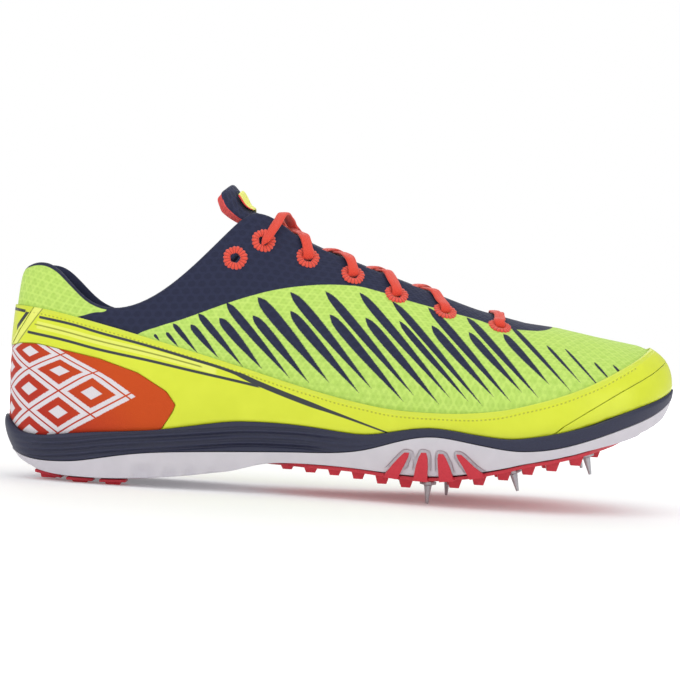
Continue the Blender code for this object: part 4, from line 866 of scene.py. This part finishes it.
tongue = node_copy("tongue", "tongue_pad")
smooth(tongue, 2)
fronts = [v.normal.copy() if v.normal.z > 0.3 and v.co.x > -0.030 else Vector()
          for v in tongue.data.vertices]
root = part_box("tongue")[1][0] - TONGUE_ROOT
for vertex, front in zip(tongue.data.vertices, fronts):
    share = max(vertex.co.x - root, 0.0) / TONGUE_ROOT
    vertex.co += front * TONGUE_LOFT + ROOT_REACH * share
tongue_front, tree = material_for("tongue_mesh")
mesh_cells = placed(tree, cells, wire(tree, "TexCoord").outputs["Object"], 0.0026, 0.34)
fuzz = grained(tree, 2300.0).outputs["Fine"]
colour = blend(tree, fuzz, shade(32, 36, 60), shade(54, 59, 88))
colour = tint(tree, colour, mesh_cells.outputs["Hole"], 0.4, shade(22, 25, 44))
surface(tree, colour, calc(tree, "ADD", mesh_cells.outputs["Height"], fuzz), 0.5, 0.85, KNIT_LEVELS)
tongue_back, tree = material_for("tongue_lining")
fuzz = grained(tree, 2000.0).outputs["Fine"]
surface(tree, blend(tree, fuzz, shade(222, 62, 62), shade(240, 98, 92)), fuzz, 0.4, 0.85)
tongue.data.materials.append(tongue_front)
tongue.data.materials.append(tongue_back)
for face in tongue.data.polygons:
    face.material_index = 0 if face.normal.dot(Vector((0.55, 0.0, 0.83))) > -0.15 else 1
fitted(tongue, "tongue", slot="tongue")

label = node_copy("tongue_label", "woven_label")
smooth(label, 2)
label_material, tree = material_for("woven_label")
y = places(tree)[1]
weft = grained(tree, 2600.0).outputs["Fine"]
middle_y = sum(corner[1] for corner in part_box("tongue_label")) / 2 * 1000
reach_y = (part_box("tongue_label")[1][1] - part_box("tongue_label")[0][1]) / 2 * 1000
rows_woven = calc(tree, "SINE", calc(tree, "MULTIPLY", y, 9.0))
edging = above(tree, calc(tree, "ABSOLUTE", calc(tree, "SUBTRACT", y, middle_y)), reach_y - 1.6, 0.15)
colour = blend(tree, weft, shade(226, 232, 80), shade(244, 244, 150))
colour = blend(tree, edging, colour, shade(226, 66, 60))
surface(tree, colour, calc(tree, "MULTIPLY_ADD", rows_woven, 0.4, weft), 0.4, 0.7)
label.data.materials.append(label_material)
fitted(label, "tongue_label", slot="label")


# The eyelets. Fourteen rings worked in thick red thread round punched holes. One ring is turned from a
# torus with a ridge for each stitch, and copied to each hole.

# Each hole's centre in mm and the way that it looks out, from the highest pair to the lowest.
HOLES = {
    "outer": (
        (-47.35, -24.32, 96.15, -0.017, -0.971, 0.237), (-36.30, -21.04, 104.09, 0.179, -0.930, 0.320),
        (-17.66, -17.60, 98.31, 0.227, -0.834, 0.503), (1.50, -17.18, 92.28, 0.213, -0.752, 0.624),
        (20.10, -18.52, 85.10, 0.202, -0.684, 0.701), (40.68, -18.36, 79.26, 0.228, -0.576, 0.785),
        (63.86, -16.46, 74.30, 0.178, -0.467, 0.866),
    ),
    "inner": (
        (-47.10, 25.22, 96.15, -0.017, 0.986, 0.168), (-36.06, 22.77, 104.09, 0.136, 0.956, 0.260),
        (-17.58, 20.24, 98.31, 0.186, 0.870, 0.457), (1.34, 20.41, 92.27, 0.178, 0.803, 0.568),
        (19.35, 22.48, 85.09, 0.132, 0.757, 0.640), (39.57, 23.95, 79.24, 0.151, 0.651, 0.744),
        (62.94, 24.48, 74.28, 0.122, 0.527, 0.841),
    ),
}
STITCHES = 18
RING_RADIUS = 0.00345

bpy.ops.object.select_all(action="DESELECT")
bpy.ops.mesh.primitive_torus_add(
    major_radius=RING_RADIUS, minor_radius=0.00138, major_segments=STITCHES * 6, minor_segments=10)
ring = bpy.context.object
# Each point's amount of painted shade in the clefts between stitches, strongest midway between two ridges.
shade_between_stitches = ring.data.attributes.new("shade_between_stitches", "FLOAT", "POINT")
for vertex, cleft_shade in zip(ring.data.vertices, shade_between_stitches.data):
    turn = math.atan2(vertex.co.y, vertex.co.x)
    ridge = abs(math.cos(turn * STITCHES / 2))
    cleft_shade.value = max(0.0, 1.0 - ridge * 2.2)
    out = math.hypot(vertex.co.x, vertex.co.y) - RING_RADIUS
    reach = 1 + (0.34 * ridge - 0.10) * (1 if out > 0 else 0.35)
    grown = RING_RADIUS + out * reach + 0.00012 * math.sin(turn * 5 + 1.0)
    vertex.co.x, vertex.co.y = grown * math.cos(turn), grown * math.sin(turn)
    vertex.co.z *= 0.34 + 0.22 * ridge
bpy.ops.object.shade_smooth()
thread_material, tree = material_for("stitch_thread")
ply = grained(tree, 3200.0).outputs["Fine"]
# The clefts between the stitches are painted dark red: painted shade in them, over the ring's ridges.
cleft_shade = wire(tree, "Attribute", attribute_name="shade_between_stitches").outputs["Fac"]
thread = blend(tree, ply, shade(212, 42, 30), shade(244, 92, 62))
surface(tree, tint(tree, thread, cleft_shade, 0.75, shade(96, 20, 30)), ply, 0.5, 0.6, (("Sheen Weight", 0.3),))
for side, rows in HOLES.items():
    for number, row in enumerate(rows, 1):
        eyelet = bpy.data.objects.new(f"stitched_ring_{side}_{number}", ring.data.copy())
        bpy.context.scene.collection.objects.link(eyelet)
        axis = Vector(row[3:])
        seat = Vector(row[:3]) / 1000 + axis * 0.0004
        eyelet.data.transform(Matrix.Translation(seat) @ axis.to_track_quat("Z", "Y").to_matrix().to_4x4())
        eyelet.data.materials.append(thread_material)
        fitted(eyelet, f"eyelet_{side}_{number}", slot="eyelets")
bpy.data.objects.remove(ring)


# The lace. One flat woven lace: a bar across the lowest eyelets, then four crossings whose strands come
# up through their eyelets, go over the tongue and dive under the other eyestay. It follows drawn paths.

LACE_HALF_WIDTH = 0.0023
LACE_HALF_DEPTH = 0.0006
HOLE_REACH = 0.006
PINCH = 0.66
SLACK_DROP = Vector((0.0, 0.0, 0.0012))
# A strand's points over the tongue in mm, for each crossing: first from the outer side, then the inner.
STRANDS = {
    3: (((-19.6, -13.8, 108.6), (-22.3, -7.3, 110.3), (-25.2, 0.7, 112.0), (-27.4, 8.7, 115.6),
         (-29.4, 15.6, 117.6), (-31.4, 20.6, 113.6)),
        ((-19.6, 16.4, 108.8), (-22.3, 9.8, 110.5), (-24.9, 1.6, 112.9), (-26.8, -6.6, 115.9),
         (-28.9, -13.4, 117.6), (-31.2, -18.6, 113.2))),
    4: (((-0.2, -14.2, 100.8), (-2.8, -8.7, 102.6), (-5.4, -3.0, 103.0), (-8.2, 2.8, 103.2),
         (-11.5, 10.0, 103.0), (-13.4, 14.0, 102.2)),
        ((-0.4, 17.4, 101.0), (-2.9, 12.0, 102.8), (-5.5, 6.1, 103.9), (-8.2, 0.3, 104.4),
         (-11.5, -6.9, 103.4), (-13.4, -11.0, 102.2))),
    5: (((18.3, -15.2, 92.6), (16.0, -9.8, 96.1), (13.3, -3.8, 96.5), (10.7, 2.0, 96.8),
         (7.4, 9.3, 96.6), (5.4, 13.6, 95.8)),
        ((17.6, 19.4, 93.2), (15.4, 13.8, 96.4), (12.9, 7.8, 97.6), (10.5, 2.0, 98.0),
         (7.4, -5.4, 97.0), (5.4, -9.8, 95.8))),
    6: (((38.7, -14.6, 85.6), (36.2, -9.6, 89.2), (33.4, -3.9, 90.0), (30.6, 1.8, 90.4),
         (27.1, 8.9, 90.3), (24.9, 13.4, 89.4)),
        ((37.8, 20.4, 86.2), (35.5, 15.2, 89.4), (33.0, 9.4, 91.1), (30.5, 3.4, 91.6),
         (27.4, -3.8, 90.6), (25.4, -8.4, 89.4))),
}
BAR = ((64.1, -13.0, 79.0), (64.0, -7.5, 81.2), (63.9, -1.8, 81.6), (63.7, 6.0, 81.8), (63.5, 13.9, 82.4),
       (63.4, 19.0, 81.2))


def lace_path(marks):
    """A smooth path of close points through some marks."""
    fine = []
    count = len(marks)
    for k in range(count - 1):
        a, b, c, d = marks[max(k - 1, 0)], marks[k], marks[k + 1], marks[min(k + 2, count - 1)]
        steps = max(2, round((c - b).length / 0.0007))
        for step in range(steps):
            t = step / steps
            fine.append(0.5 * (2 * b + (c - a) * t + (2 * a - 5 * b + 4 * c - d) * t * t
                               + (3 * b - a - 3 * c + d) * t * t * t))
    return [*fine, marks[-1]]


def over_tongue(marks):
    """The marks of a strand over the tongue, let down onto it."""
    return [Vector(mark) / 1000 - SLACK_DROP for mark in marks]


def through(side, number):
    """The marks of a lace that comes up through a hole: inside, in the hole, and bent over its ring."""
    row = HOLES[side][number - 1]
    centre = Vector(row[:3]) / 1000
    axis = Vector(row[3:])
    uphill = Vector((1.1, 0, 1)) if number == 2 else Vector((0, 0, 1))
    uphill = (uphill - axis * axis.dot(uphill)).normalized()
    return [centre - axis * 0.0040 + uphill * 0.0006, centre - axis * 0.0012, centre + axis * 0.0012,
            centre + axis * 0.0021 + uphill * 0.0022]


def lace(name, marks, node, seed):
    """A flat lace along its marks, pinched where it goes through a hole, on UVs in metres."""
    path = lace_path(marks)
    count = len(path)
    middle = count // 2
    ups = [None] * count
    ups[middle] = Vector((0, 0, 1))
    tangents = [(path[min(k + 1, count - 1)] - path[max(k - 1, 0)]).normalized() for k in range(count)]
    for order in (range(middle + 1, count), range(middle - 1, -1, -1)):
        last = ups[middle]
        for k in order:
            last = (last - tangents[k] * last.dot(tangents[k])).normalized()
            ups[k] = last
    ups[middle] = (ups[middle] - tangents[middle] * ups[middle].dot(tangents[middle])).normalized()
    lengths = [0.0]
    for k in range(1, count):
        lengths.append(lengths[-1] + (path[k] - path[k - 1]).length)
    sides = 16
    strip = bmesh.new()
    uv = strip.loops.layers.uv.new("lace")
    rings = []
    for k in range(count):
        ends = [lengths[k] / HOLE_REACH]
        if name.endswith("both"):
            ends.append((lengths[-1] - lengths[k]) / HOLE_REACH)
        narrow = PINCH + (1 - PINCH) * min(1.0, min(ends))
        across = tangents[k].cross(ups[k])
        wave = 0.04 * math.sin(lengths[k] * 700 + seed)
        loop = []
        for j in range(sides):
            turn = 2 * math.pi * j / sides
            flat = math.copysign(abs(math.cos(turn)) ** 0.75, math.cos(turn))
            thick = math.copysign(abs(math.sin(turn)) ** 0.55, math.sin(turn))
            wide = flat * LACE_HALF_WIDTH * narrow * (1 + wave)
            deep = thick * LACE_HALF_DEPTH * (1.5 - 0.5 * narrow)
            loop.append(strip.verts.new(path[k] + across * wide + ups[k] * deep))
        rings.append(loop)
    for k in range(count - 1):
        for j in range(sides):
            i = (j + 1) % sides
            face = strip.faces.new((rings[k][j], rings[k][i], rings[k + 1][i], rings[k + 1][j]))
            face.smooth = True
            for loop, (at, turn) in zip(face.loops, ((k, j), (k, j + 1), (k + 1, j + 1), (k + 1, j))):
                loop[uv].uv = (lengths[at], math.cos(2 * math.pi * turn / sides) * LACE_HALF_WIDTH)
    strip.faces.new(rings[0][::-1])
    strip.faces.new(rings[-1])
    bmesh.ops.recalc_face_normals(strip, faces=strip.faces)
    mesh = bpy.data.meshes.new(name)
    strip.to_mesh(mesh)
    strip.free()
    piece = bpy.data.objects.new(name, mesh)
    bpy.context.scene.collection.objects.link(piece)
    piece.data.materials.append(lace_material)
    fitted(piece, node, slot="lace")


lace_material, tree = material_for("woven_lace")
woven = wire(tree, "SeparateXYZ", wire(tree, "TexCoord").outputs["UV"])
run = calc(tree, "MULTIPLY", woven.outputs[0], 1000.0)
wide = calc(tree, "MULTIPLY", calc(tree, "ABSOLUTE", woven.outputs[1]), 1000.0)
chevron = calc(tree, "SINE", calc(tree, "MULTIPLY", calc(tree, "ADD", run, wide), 7.5))
yarns = calc(tree, "SINE", calc(tree, "MULTIPLY", wide, 11.0))
fibre = grained(tree, 2600.0).outputs["Fine"]
tone = calc(tree, "MULTIPLY_ADD", chevron, 0.16, calc(tree, "MULTIPLY", fibre, 0.7))
relief = calc(tree, "ADD", calc(tree, "MULTIPLY_ADD", yarns, 0.5, chevron), fibre)
surface(tree, blend(tree, tone, shade(216, 44, 24), shade(244, 80, 42)), relief, 0.4, 0.7,
        (("Sheen Weight", 0.25),), depth=0.0002)

for number, pair in STRANDS.items():
    for side, row in zip(("outer", "inner"), pair):
        marks = through(side, number) + over_tongue(row)
        name = f"lace_{number}_{side}"
        if number == 3:
            marks += through("inner" if side == "outer" else "outer", 2)[::-1]
            name += "_both"
        lace(name, marks, f"lace_crossing_{number - 1}", number + (side == "inner") * 2.5)
lace("lace_7_both", through("outer", 7) + over_tongue(BAR) + through("inner", 7)[::-1], "lace_bar", 1.0)
